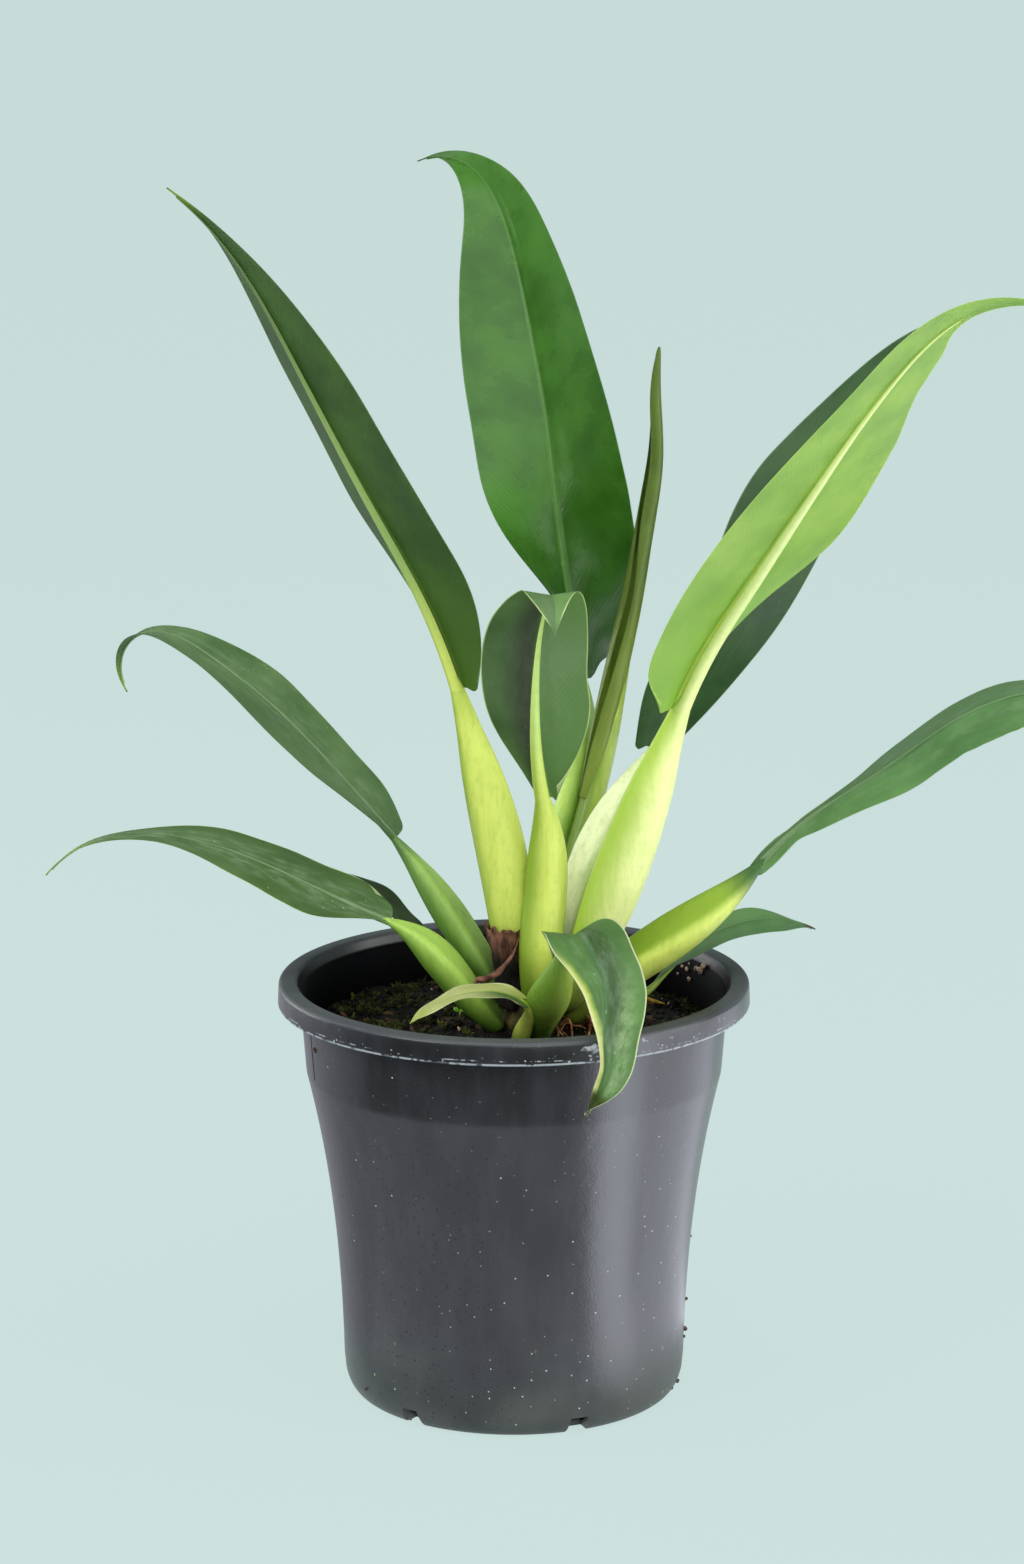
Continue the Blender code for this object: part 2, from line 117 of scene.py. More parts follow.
class Look:
    """A Principled material, built up node by node."""

    def __init__(self, name, specular):
        self.material = bpy.data.materials.new(name)
        self.material.use_nodes = True
        self.tree = self.material.node_tree
        self.shader = self.tree.nodes["Principled BSDF"]
        self.shader.inputs["Specular IOR Level"].default_value = specular
        self.colour = None

    def feed(self, socket, value):
        if isinstance(value, Wire):
            self.tree.links.new(value.socket, socket)
        else:
            socket.default_value = value

    def node(self, kind, settings, sockets, out=0):
        made = self.tree.nodes.new(kind)
        for name, value in settings.items():
            setattr(made, name, value)
        for name, value in sockets.items():
            self.feed(made.inputs[name], value)
        return Wire(self, made.outputs[out])

    def attributes(self, *names):
        """Values that the mesh carries."""
        return [self.node("ShaderNodeAttribute", {"attribute_name": name}, {}, "Fac")
                for name in names]

    def place(self, stretch=(1, 1, 1), shift=(0, 0, 0)):
        """The place on the object in metres, stretched for a pattern that runs one way."""
        where = self.node("ShaderNodeTexCoord", {}, {}, "Object")
        sockets = {"Vector": where, "Scale": stretch, "Location": shift}
        return self.node("ShaderNodeMapping", {}, sockets)

    def axis(self, letter):
        where = self.node("ShaderNodeTexCoord", {}, {}, "Object")
        return self.node("ShaderNodeSeparateXYZ", {}, {0: where}, letter)

    def cloud(self, size, detail=3.0, rough=0.5, stretch=(1, 1, 1)):
        """Soft noise from 0 to 1 with blotches of about size metres."""
        sockets = {"Vector": self.place(stretch), "Scale": 1 / size, "Detail": detail,
                   "Roughness": rough}
        return self.node("ShaderNodeTexNoise", {}, sockets)

    def dots(self, spacing, size, share, stretch=(1, 1, 1), seed=0.0):
        """Small round dots, one in share of the cells of a random pattern, size metres across."""
        where = self.place(stretch, (seed, seed, seed))
        cells = {"Vector": where, "Scale": 1 / spacing}
        distance = self.node("ShaderNodeTexVoronoi", {}, cells, "Distance")
        chance = self.node("ShaderNodeTexVoronoi", {}, cells, "Color")
        picked = self.node("ShaderNodeSeparateColor", {}, {0: chance}, "Red")
        reach = size / spacing / 2
        return distance.falls(reach * 0.6, reach) * picked.falls(share, share + 0.02)

    def blend(self, under, over, mask):
        sockets = {0: mask, 6: under, 7: over}
        return self.node("ShaderNodeMix", {"data_type": "RGBA"}, sockets, 2)

    def cover(self, colour, mask):
        """Lay a colour over the look's own where the mask says."""
        self.colour = self.blend(self.colour, colour, mask)

    def bump(self, height, depth):
        sockets = {"Height": height, "Distance": depth, "Strength": 1.0}
        return self.node("ShaderNodeBump", {}, sockets)

    def wear(self, roughness, normal, metal=0.0):
        """Feed the shader what has been built."""
        inputs = {"Base Color": self.colour, "Roughness": roughness, "Normal": normal,
                  "Metallic": metal}
        for name, value in inputs.items():
            self.feed(self.shader.inputs[name], value)
        return self


def mesh_of(name, bm):
    mesh = bpy.data.meshes.new(name)
    bm.to_mesh(mesh)
    bm.free()
    return mesh


def add_object(name, data):
    made = bpy.data.objects.new(name, data)
    bpy.context.collection.objects.link(made)
    return made


def add_piece(name, bm, look, slot, *nodes, sharp=None):
    """Turn a bmesh in millimetres into a finished piece that stands for the named CAD nodes."""
    bmesh.ops.scale(bm, vec=(MM, MM, MM), verts=bm.verts)
    mesh = mesh_of(name, bm)
    mesh.materials.append(look.material)
    mesh.shade_smooth()
    if sharp:
        mesh.set_sharp_from_angle(angle=math.radians(sharp))
    piece = add_object(name, mesh)
    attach(piece, "root")
    if nodes:
        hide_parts(*nodes)
    return piece


def rotate(bm, verts, angle, axis):
    """Turn points about an axis through the origin."""
    bmesh.ops.rotate(bm, verts=verts, cent=(0, 0, 0), matrix=Matrix.Rotation(angle, 3, axis))


def soften(bm, width):
    """Round every edge off."""
    bmesh.ops.bevel(bm, geom=bm.edges[:], offset=width, offset_type="OFFSET", segments=2,
                    profile=0.5, affect="EDGES", material=-1)


def around(heading, radius, height):
    """The point at a heading, in degrees, and a radius round the pot's axis."""
    angle = math.radians(heading)
    return Vector((radius * math.cos(angle), radius * math.sin(angle), height))


def arc(centre, radius, start, end, steps):
    """Points of a profile along an arc, from one angle to another in degrees."""
    points = []
    for step in range(steps + 1):
        angle = math.radians(start + (end - start) * step / steps)
        points.append((centre[0] + radius * math.cos(angle), centre[1] + radius * math.sin(angle)))
    return points


def turned(profile, segments):
    """Spin a profile of (radius, height) points, both ends on the axis, into a closed body."""
    bm = bmesh.new()
    points = [bm.verts.new((radius, 0, height)) for radius, height in profile]
    edges = [bm.edges.new(pair) for pair in zip(points, points[1:])]
    bmesh.ops.spin(bm, geom=points + edges, axis=(0, 0, 1), cent=(0, 0, 0), steps=segments,
                   angle=math.tau, use_merge=True)
    bmesh.ops.remove_doubles(bm, verts=bm.verts, dist=0.001)
    bmesh.ops.recalc_face_normals(bm, faces=bm.faces)
    return bm


def wall_radius(height):
    """Outer radius of the pot: waisted up to the knee, then the straighter band."""
    if height > KNEE[1]:
        return KNEE[0] + (BAND_TOP_RADIUS - KNEE[0]) * (height - KNEE[1]) / (RIM_HEIGHT - KNEE[1])
    climb = max(0.0, (height - CORNER[1]) / (KNEE[1] - CORNER[1]))
    return CORNER[0] + (KNEE[0] - CORNER[0]) * (0.2 * climb + 0.8 * climb ** 2.3)


def pot_profile():
    """The pot's section from the middle of the underside, round the rim, to the floor inside."""
    corner = []
    for step in range(1, 9):
        angle = 1.25 * step / 9
        corner.append((FOOT_RADIUS + (CORNER[0] - FOOT_RADIUS) * math.sin(angle) ** 0.9,
                       CORNER[1] * (1 - math.cos(angle))))
    outside = [(wall_radius(z), z) for z in
               (*range(15, 139, 6), 139, 140.4, 141.6, 143, 150, 160, 170, 176.6)]
    skirt_inner = RIM_RADIUS - SKIRT_WALL
    skirt = [(wall_radius(177) + 0.8, 177.8), (skirt_inner - 0.8, 177.8), (skirt_inner, 177.0),
             (skirt_inner, SKIRT_FOOT + 0.5)]
    skirt += arc((RIM_RADIUS - 0.9, SKIRT_FOOT + 0.9), 0.9, 200, 360, 6)
    lip = arc((RIM_RADIUS - 2.3, RIM_HEIGHT - 2.0), 2.0, 0, 90, 6)
    lip += arc((LIP_INNER_RADIUS + 1.6, RIM_HEIGHT - 1.6), 1.6, 90, 180, 6)
    inside = [(wall_radius(z) - WALL, z) for z in
              (174, 160, 146, 141, 130, 110, 90, 70, 50, 30, 20)]
    base = [(CORNER[0] - WALL - 2.5, FLOOR + 3.5), (FOOT_RADIUS - 3, FLOOR), (0, FLOOR)]
    return [(0, 0), (FOOT_RADIUS, 0)] + corner + outside + skirt + lip + inside + base


def notch_blocks():
    """The wedges that the drainage notches take out of the pot's lower corner."""
    bm = bmesh.new()
    for number in range(NOTCHES):
        block = bmesh.ops.create_cube(bm, size=1.0)["verts"]
        for vert in block:
            taper = 1.0 if vert.co.z < 0 else 0.7
            vert.co = Vector((FOOT_RADIUS + 5 + vert.co.x * 20, vert.co.y * 11 * taper,
                              2.5 + vert.co.z * 10))
        rotate(bm, block, math.radians(FIRST_NOTCH + number * 360 / NOTCHES), "Z")
    bmesh.ops.scale(bm, vec=(MM, MM, MM), verts=bm.verts)
    return bm


def cut_notches(piece):
    """Cut every drainage notch, and leave no cutter behind."""
    cutter = add_object("notches", mesh_of("notches", notch_blocks()))
    boolean = piece.modifiers.new("Notches", "BOOLEAN")
    boolean.operation = "DIFFERENCE"
    boolean.object = cutter
    bpy.context.view_layer.update()
    whole = piece.evaluated_get(bpy.context.evaluated_depsgraph_get())
    cut = bpy.data.meshes.new_from_object(whole)
    piece.modifiers.clear()
    piece.data = cut
    bpy.data.objects.remove(cutter)
    cut.shade_smooth()
    cut.set_sharp_from_angle(angle=math.radians(POT_CREASE))


def pot_look():
    """Marks are placed by their distance from the axis and their height, in metres."""
    look = Look("pot_plastic", specular=0.6)
    x, y, z = look.axis("X"), look.axis("Y"), look.axis("Z")
    radius = (x * x + y * y).root()
    wide = radius.rises(0.0927, 0.0970)
    streaks = look.cloud(0.012, 4.0, 0.6, stretch=(1, 1, 0.3))
    blotches = look.cloud(0.045, 3.0)
    look.colour = look.blend(paint(36, 36, 38), paint(47, 47, 50), streaks.rises(0.35, 0.7))
    # On the wall: dust near the foot, dark pits on the left, pale and green specks.
    dusty = z.falls(0.0, 0.11) * blotches.rises(0.3, 0.7) + z.falls(0.0, 0.03) * 0.6
    look.cover(paint(92, 92, 88), dusty.rises(0.0, 1.6) * 0.5)
    wet = x.falls(-0.03, 0.02) * y.falls(-0.06, 0.03) * z.falls(0.125, 0.135) + 0.08
    pits = look.dots(0.0019, 0.0010, 0.45, (1, 1, 0.7), seed=3.0) * wet
    look.cover(paint(14, 14, 16), pits * 0.85)
    low_right = x.rises(-0.05, 0.05) * z.falls(0.03, 0.13)
    specks = look.dots(0.0034, 0.0009, 0.4, seed=1.0) * (low_right + 0.3)
    specks = specks + look.dots(0.009, 0.0009, 0.5, seed=7.0)
    look.cover(paint(190, 194, 198), specks.rises(0.1, 0.7) * 0.8)
    green_specks = look.dots(0.0045, 0.0011, 0.2, (1, 1, 0.6), seed=5.0) * z.falls(0.01, 0.05)
    look.cover(paint(168, 176, 106), green_specks * 0.8)
    # Painted shade inside the pot and a painted shadow under the rim; lighter where the lip is worn.
    inner = (radius + (0.141 - z) * 0.077).falls(0.0871, 0.0877)
    inner = inner * z.rises(0.146, 0.15) * z.falls(0.1785, 0.1795)
    look.cover(paint(24, 24, 26), inner)
    clear_of_rim_shadow = (wide + z.falls(0.172, 0.178)).rises(0.1, 0.9)
    look.colour = look.blend(paint(16, 16, 18), look.colour, clear_of_rim_shadow)
    lip = radius.rises(0.0912, 0.0918) * z.rises(0.1785, 0.1795)
    look.cover(paint(58, 60, 64), lip * blotches.rises(0.3, 0.6))
    # On the skirt: two lines of limescale, smears of it and splashes.
    skirt = wide * z.rises(0.1695, 0.1705) * look.cloud(0.004, 3.0).rises(0.34, 0.55)
    scale_line = skirt * z.falls(0.1703 + LIMESCALE * 0.3, 0.1703 + LIMESCALE)
    second = abs(z - 0.1723 - look.cloud(0.03, 2.0) * 0.0012 + 0.0006).falls(0.0001, 0.0004)
    second = second * look.cloud(0.006, 4.0, 0.7).rises(0.48, 0.6)
    above_line = z.rises(0.1705, 0.172)
    smears = look.cloud(0.009, 6.0, 0.75, (1, 1, 2)).rises(0.58, 0.64) * above_line
    smears = smears * x.rises(0.0, 0.03) * y.falls(-0.08, -0.03) * z.falls(0.1775, 0.1795)
    splashes = look.dots(0.006, 0.0013, 0.4, seed=9.0) * above_line * 0.6
    low_splashes = look.dots(0.0030, 0.0012, 0.4, seed=11.0) * z.falls(0.171, 0.177)
    splashes = splashes + low_splashes * 1.6
    crusts = scale_line + second * 0.7 + smears * 0.8 + splashes * 0.5
    crusts = crusts.rises(0.05, 0.9) * wide
    look.cover(paint(172, 176, 182), crusts * 0.8)
    grain = look.cloud(0.0009, 2.0) * 0.6 + look.cloud(0.006, 2.0) * 0.8
    rough = 0.24 + streaks * 0.1 + crusts * 0.35 + dusty * 0.12 + specks * 0.3
    rough = rough + inner * 0.3 + lip * 0.3
    return look.wear(rough, look.bump(grain + specks * 0.5 - pits, 0.00011), metal=inner)


def seam_mesh():
    """The parting line that the mould leaves on the band: a fine rib."""
    bm = bmesh.new()
    bmesh.ops.create_cube(bm, size=1.0)
    bmesh.ops.scale(bm, vec=SEAM, verts=bm.verts)
    soften(bm, 0.1)
    rotate(bm, bm.verts, math.atan2(BAND_TOP_RADIUS - KNEE[0], RIM_HEIGHT - KNEE[1]), "Y")
    bmesh.ops.translate(bm, verts=bm.verts, vec=(wall_radius(SEAM_HEIGHT), 0, SEAM_HEIGHT))
    rotate(bm, bm.verts, math.radians(SEAM_HEADING), "Z")
    return bm


pot_plastic = pot_look()
pot = add_piece("pot_moulding", turned(pot_profile(), POT_SEGMENTS), pot_plastic, "pot_plastic",
                "pot")
cut_notches(pot)
add_piece("pot_seam", seam_mesh(), pot_plastic, "pot_plastic")

# The pot is filled with dark potting mix: a crumbly bed of peat that keeps its CAD solid below,
# with crumbs, bark chips, tufts of moss and a few pale grains lying loose on top.
SOIL_LEVEL = 156.5
SOIL_EDGE = 87.3
BED_DEPTH = 4
BED_RINGS = 46
RING_STEP = 1.9
CROWN_CENTRE = Vector((8.0, 0.0))
CRUMBS = 1500
CHIPS = 150
TUFTS = 240
MOSS_SPOTS = ((-50, 66), (-46, 58), (-44, 66), (-40, 50), (-52, 58), (72, 44), (70, 36), (76, 32),
              (66, 48))
LEAFLETS = 26               # in a tuft
BATCH = 30                  # loose bits made in one mesh before they are joined
FIBRES = 60
FIBRE_PATCH = ((14, 38), (-10, 30))
# Grains and splashes on the wall have a heading, a height and a size, grains on the soil a place.
WALL_GRAINS = ((34.3, 171.4, 0.6), (31.9, 170.9, 0.8), (31.1, 173.6, 0.5), (24.4, 173.2, 1.5),
               (22.9, 175.6, 1.0), (27.3, 173.0, 0.8), (30.5, 167.0, 0.8), (36.0, 167.6, 0.5))
SOIL_GRAINS = ((-23.3, -4.0, 0.7), (67, 36, 0.8), (64, 42, 0.5), (-36, 60, 0.4))
SPLASHES = ((-3, 38, 0.72), (-4, 25, 1.2), (-5, 22, 0.72), (-12, 5, 0.88), (-16, 3, 0.64),
            (-2, 66, 0.4), (-150, 9, 0.72), (-128, 3, 0.64))
SEEDLING = (-23.1, 16.0)
FLAKE = (61.0, 33.4)


def soil_height(x, y):
    """Height of the soil's surface: the CAD mound with finer lumps on it."""
    mound = 2.0 * math.exp(-((x - CROWN_CENTRE.x) ** 2 + y ** 2) / 900)
    broad = 1.6 * noise.noise(Vector((x, y, 0)) * 0.07)
    lumps = noise.noise(Vector((x, y, 5)) * 0.22) * 1.4 + noise.noise(Vector((x, y, 9)) * 0.6) * 0.9
    return SOIL_LEVEL + mound + broad + lumps + 0.6


def soil_bed():
    """A lumpy disc, closed below where it sinks into the CAD soil."""
    low = SOIL_LEVEL - BED_DEPTH
    rings = [(SOIL_EDGE - RING_STEP * ring, SOIL_LEVEL) for ring in range(BED_RINGS)]
    bm = turned([(0, low), (SOIL_EDGE, low)] + rings + [(0, SOIL_LEVEL)], 200)
    for vert in bm.verts:
        if vert.co.z > low + 1:
            vert.co.z = soil_height(vert.co.x, vert.co.y)
    return bm


def soil_look(name, dark, light, size):
    """Two colours in blotches of about size metres, damp in places."""
    look = Look(name, specular=0.2)
    mottle = look.cloud(size, 5.0, 0.65)
    look.colour = look.blend(paint(*dark), paint(*light), mottle.rises(0.4, 0.75))
    damp = look.cloud(0.03, 2.0).rises(0.45, 0.6)
    return look.wear(0.92 - damp * 0.3, look.bump(look.cloud(size * 0.4, 4.0, 0.7), 0.0008))


def dress(node, look):
    """Give a kept CAD solid its finished material."""
    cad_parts[node].data.materials.clear()
    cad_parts[node].data.materials.append(look.material)


def scatter(rng, clear):
    """A random place on the soil, outside a clear ring round the crown."""
    while True:
        x, y = rng.uniform(-SOIL_EDGE, SOIL_EDGE), rng.uniform(-SOIL_EDGE, SOIL_EDGE)
        if math.hypot(x, y) < SOIL_EDGE - 1.5 and math.hypot(x - CROWN_CENTRE.x, y) > clear:
            return x, y


def gather(parts):
    """One bmesh of many."""
    whole = bmesh.new()
    for bm in parts:
        group = mesh_of("group", bm)
        whole.from_mesh(group)
        bpy.data.meshes.remove(group)
    return whole


def heaps(count, rng, clear, make, spots):
    """Batches of loose bits, first at the named spots and then at random on the soil."""
    for start in range(0, count, BATCH):
        bm = bmesh.new()
        for number in range(start, min(start + BATCH, count)):
            x, y = spots[number] if number < len(spots) else scatter(rng, clear)
            new = make(bm, rng)
            turn = Matrix.Rotation(rng.uniform(0, math.tau), 3, "Z")
            turn = turn @ Matrix.Rotation(rng.uniform(-0.5, 0.5), 3, "X")
            for vert in new:
                height = soil_height(x, y) + rng.uniform(-0.2, 0.5)
                vert.co = turn @ vert.co + Vector((x, y, height))
        yield bm


def scattered(count, seed, clear, make, spots=()):
    """One mesh of many small loose bits on the soil."""
    return gather(heaps(count, random.Random(seed), clear, make, spots))


def crumb(bm, rng):
    new = bmesh.ops.create_icosphere(bm, subdivisions=1, radius=rng.uniform(0.5, 1.9))["verts"]
    for vert in new:
        vert.co *= rng.uniform(0.7, 1.2)
        vert.co.z *= 0.75
    return new


def chip(bm, rng):
    new = bmesh.ops.create_cube(bm, size=1.0)["verts"]
    length, width = rng.uniform(4, 11), rng.uniform(1.5, 4)
    for vert in new:
        vert.co = Vector((vert.co.x * length * rng.uniform(0.8, 1.1),
                          vert.co.y * width * rng.uniform(0.6, 1.1),
                          vert.co.z * rng.uniform(0.6, 1.4)))
    return new


def tuft(bm, rng):
    """A tuft of moss: short leaflets that lean out from one spot."""
    new = []
    for _ in range(LEAFLETS):
        tip = Vector((rng.gauss(0, 1.9), rng.gauss(0, 1.9), rng.uniform(0.5, 1.9)))
        foot = Vector((tip.x * 0.5, tip.y * 0.5, -0.3))
        stand = (tip - foot).to_track_quat("Z", "Y").to_matrix().to_4x4()
        stand = Matrix.Translation((foot + tip) / 2) @ stand
        new += bmesh.ops.create_cone(bm, cap_ends=True, segments=3, radius1=rng.uniform(0.5, 0.9),
                                     radius2=0.2, depth=(tip - foot).length, matrix=stand)["verts"]
    return new


def loft(make, rings, names, sides):
    """A closed skin through rings of points, with a layer for each of the values that it carries.

    make gives, at t from 0 to 1 and an angle, a point and its values.
    """
    bm = bmesh.new()
    bmesh.ops.create_cone(bm, cap_ends=True, segments=sides, radius1=1, radius2=1, depth=2)
    uprights = [edge for edge in bm.edges if abs(edge.verts[0].co.z - edge.verts[1].co.z) > 1]
    bmesh.ops.subdivide_edges(bm, edges=uprights, cuts=rings - 1, use_grid_fill=True)
    layers = [bm.verts.layers.float.new(name) for name in names]
    for vert in bm.verts:
        point, values = make((vert.co.z + 1) / 2, math.atan2(vert.co.y, vert.co.x))
        for layer, value in zip(layers, values):
            vert[layer] = value
        vert.co = point
    bmesh.ops.recalc_face_normals(bm, faces=bm.faces)
    return bm


def fibre(rng):
    """A dead root: a thin strand that arches over the soil."""
    start = Vector((rng.uniform(*FIBRE_PATCH[0]), rng.uniform(*FIBRE_PATCH[1])))
    heading, length = rng.uniform(0, math.tau), rng.uniform(8, 20)
    run = Vector((math.cos(heading), math.sin(heading))) * length
    arch, sway, thick = rng.uniform(1, 8), rng.uniform(-4, 4), rng.uniform(0.3, 0.8)

    def section(t, angle):
        aside = Vector((-run.y, run.x)).normalized() * sway * math.sin(math.pi * t)
        place = start + run * t + aside
        height = soil_height(*place) + arch * math.sin(math.pi * t)
        across = Vector((-math.sin(heading), math.cos(heading), 0)) * math.cos(angle) * thick
        return Vector((*place, height + thick * math.sin(angle))) + across, ()

    return loft(section, 8, (), 5)


def pebbles(spots, tall, rough, fineness):
    """Small uneven lumps, one for each spot and size."""
    bm = bmesh.new()
    for spot, size in spots:
        new = bmesh.ops.create_icosphere(bm, subdivisions=2, radius=1.0)["verts"]
        for vert in new:
            lump = 1 + rough * noise.noise(vert.co * fineness(size) + spot)
            vert.co = Vector((vert.co.x, vert.co.y, vert.co.z * tall)) * lump * size + spot
    return bm


def grains():
    """Pale grains of perlite, some of them stuck to the wall where the watering left them."""
    spots = [(around(heading, wall_radius(height) - WALL - 0.5, height), size)
             for heading, height, size in WALL_GRAINS]
    spots += [(Vector((x, y, soil_height(x, y) + 0.8)), size) for x, y, size in SOIL_GRAINS]
    return pebbles(spots, 1.3, 0.7, lambda size: 1.3)


def splashes():
    """Crumbs of soil that dried on the outside of the wall and on its rounded corner."""
    spots = []
    for heading, height, size in SPLASHES:
        drop = max(0.0, 1 - height / CORNER[1])
        inset = (CORNER[0] - FOOT_RADIUS) * (1 - math.sqrt(1 - drop * drop))
        spots.append((around(heading, wall_radius(height) - inset + size * 0.3, height), size))
    return pebbles(spots, 1.0, 0.8, lambda size: 0.9 * size)


def seedling():
    """A weed's first two leaves on a thin stem."""
    x, y = SEEDLING
    bm = bmesh.new()
    for side in (-1, 1):
        new = bmesh.ops.create_icosphere(bm, subdivisions=2, radius=1.0)["verts"]
        bmesh.ops.scale(bm, vec=(1.5, 1.2, 0.3), verts=new)
        rotate(bm, new, side * -0.5, "Y")
        rotate(bm, new, 0.7, "X")
        bmesh.ops.translate(bm, verts=new, vec=(side * 1.5, 0, 4.0))
    bmesh.ops.create_cone(bm, cap_ends=True, segments=8, radius1=0.3, radius2=0.2, depth=4.6,
                          matrix=Matrix.Translation((0, 0, 1.7)))
    bmesh.ops.translate(bm, verts=bm.verts, vec=(x, y, soil_height(x, y)))
    return bm


def fallen_husk():
    """A flake of yellow bark: a thin slab, pulled to a point."""
    x, y = FLAKE
    bm = bmesh.new()
    bmesh.ops.create_cube(bm, size=1.0)
    bmesh.ops.scale(bm, vec=(8.5, 2.6, 1.5), verts=bm.verts)
    bmesh.ops.scale(bm, vec=(1, 0.3, 0.5), verts=[vert for vert in bm.verts if vert.co.x > 0])
    soften(bm, 0.3)
    rotate(bm, bm.verts, 0.3, "Y")
    bmesh.ops.translate(bm, verts=bm.verts, vec=(x, y, soil_height(x, y) + 1.6))
    return bm


def litter(name, bm, *finish, sharp=None):
    """Lay a mesh on the soil in a finish of its own."""
    add_piece(name, bm, soil_look(*finish), "potting_soil", sharp=sharp)


peat = soil_look("peat", (9, 8, 7), (34, 28, 20), 0.006)
dress("soil", peat)
add_piece("soil_bed", soil_bed(), peat, "potting_soil")
add_piece("soil_crumbs", scattered(CRUMBS, 4, 12, crumb), peat, "potting_soil")
litter("bark_chips", scattered(CHIPS, 8, 16, chip),
       "bark", (40, 28, 18), (104, 78, 52), 0.012, sharp=30)
litter("moss_tufts", scattered(TUFTS, 15, 20, tuft, MOSS_SPOTS),
       "moss", (28, 32, 12), (90, 94, 44), 0.012, sharp=20)
strands = random.Random(31)
litter("dead_roots", gather(fibre(strands) for _ in range(FIBRES)),
       "root_skin", (104, 52, 30), (196, 152, 106), 0.006)
litter("pale_grains", grains(), "perlite", (206, 160, 138), (240, 214, 198), 0.003)
litter("soil_splashes", splashes(), "dried_soil", (74, 62, 58), (150, 138, 132), 0.002)
litter("seedling", seedling(), "seedling_leaf", (120, 180, 50), (176, 220, 90), 0.003)
litter("bark_flake", fallen_husk(), "yellow_bark", (170, 120, 40), (226, 190, 90), 0.003)

# The crown is the short stem at soil level from which every stalk grows. It is brown-green, scarred
# and all but hidden between them, and keeps its CAD solid.
dress("crown", soil_look("crown_bark", (40, 34, 16), (92, 82, 42), 0.006))

# Every stalk is a swollen, spongy petiole. It grows from the crown, is round beneath and flat and
# grooved above, and narrows to a neck where it carries its blade.
STALK_SIDES = 32
STALK_RINGS = 56
STALK_REACH = 0.36          # how far its two ends keep their direction, of its length
STALK_CREASE = 55           # angle in degrees from which its edges are sharp
FLAT_TOP = 0.8              # height of its flat upper side, of its half width
GROOVE = 0.22               # depth of the groove along it, of its half width
ROUND_FOOT = 0.04           # share of its length over which its foot is rounded
# At a stalk's foot its deeper colour is dimmed further, as painted shade.
FOOT_SHADE = 0.3              # share of its deeper colour that is left at its foot
PLAIN_SHADE = (0, 1, -0.1, 0.5)
# A green painted at the neck of some stalks as the shade that their blades cast.
NECK_SHADE_GREEN = paint(58, 92, 44)
LIME = ("lime_stalk", paint(214, 224, 106), paint(126, 156, 40))
CREAMY = ("lime_stalk", paint(238, 242, 158), paint(156, 188, 54))
GREEN = ("green_stalk", paint(176, 202, 90), paint(104, 140, 46))
MOSSY = ("green_stalk", paint(140, 172, 80), paint(84, 122, 46))
LEAFY = ("green_stalk", paint(158, 190, 84), paint(88, 128, 38))
PALE = ("pale_stalk", paint(232, 236, 186), paint(136, 160, 58))
OLIVE = ("pale_stalk", paint(168, 186, 88), paint(104, 132, 44))
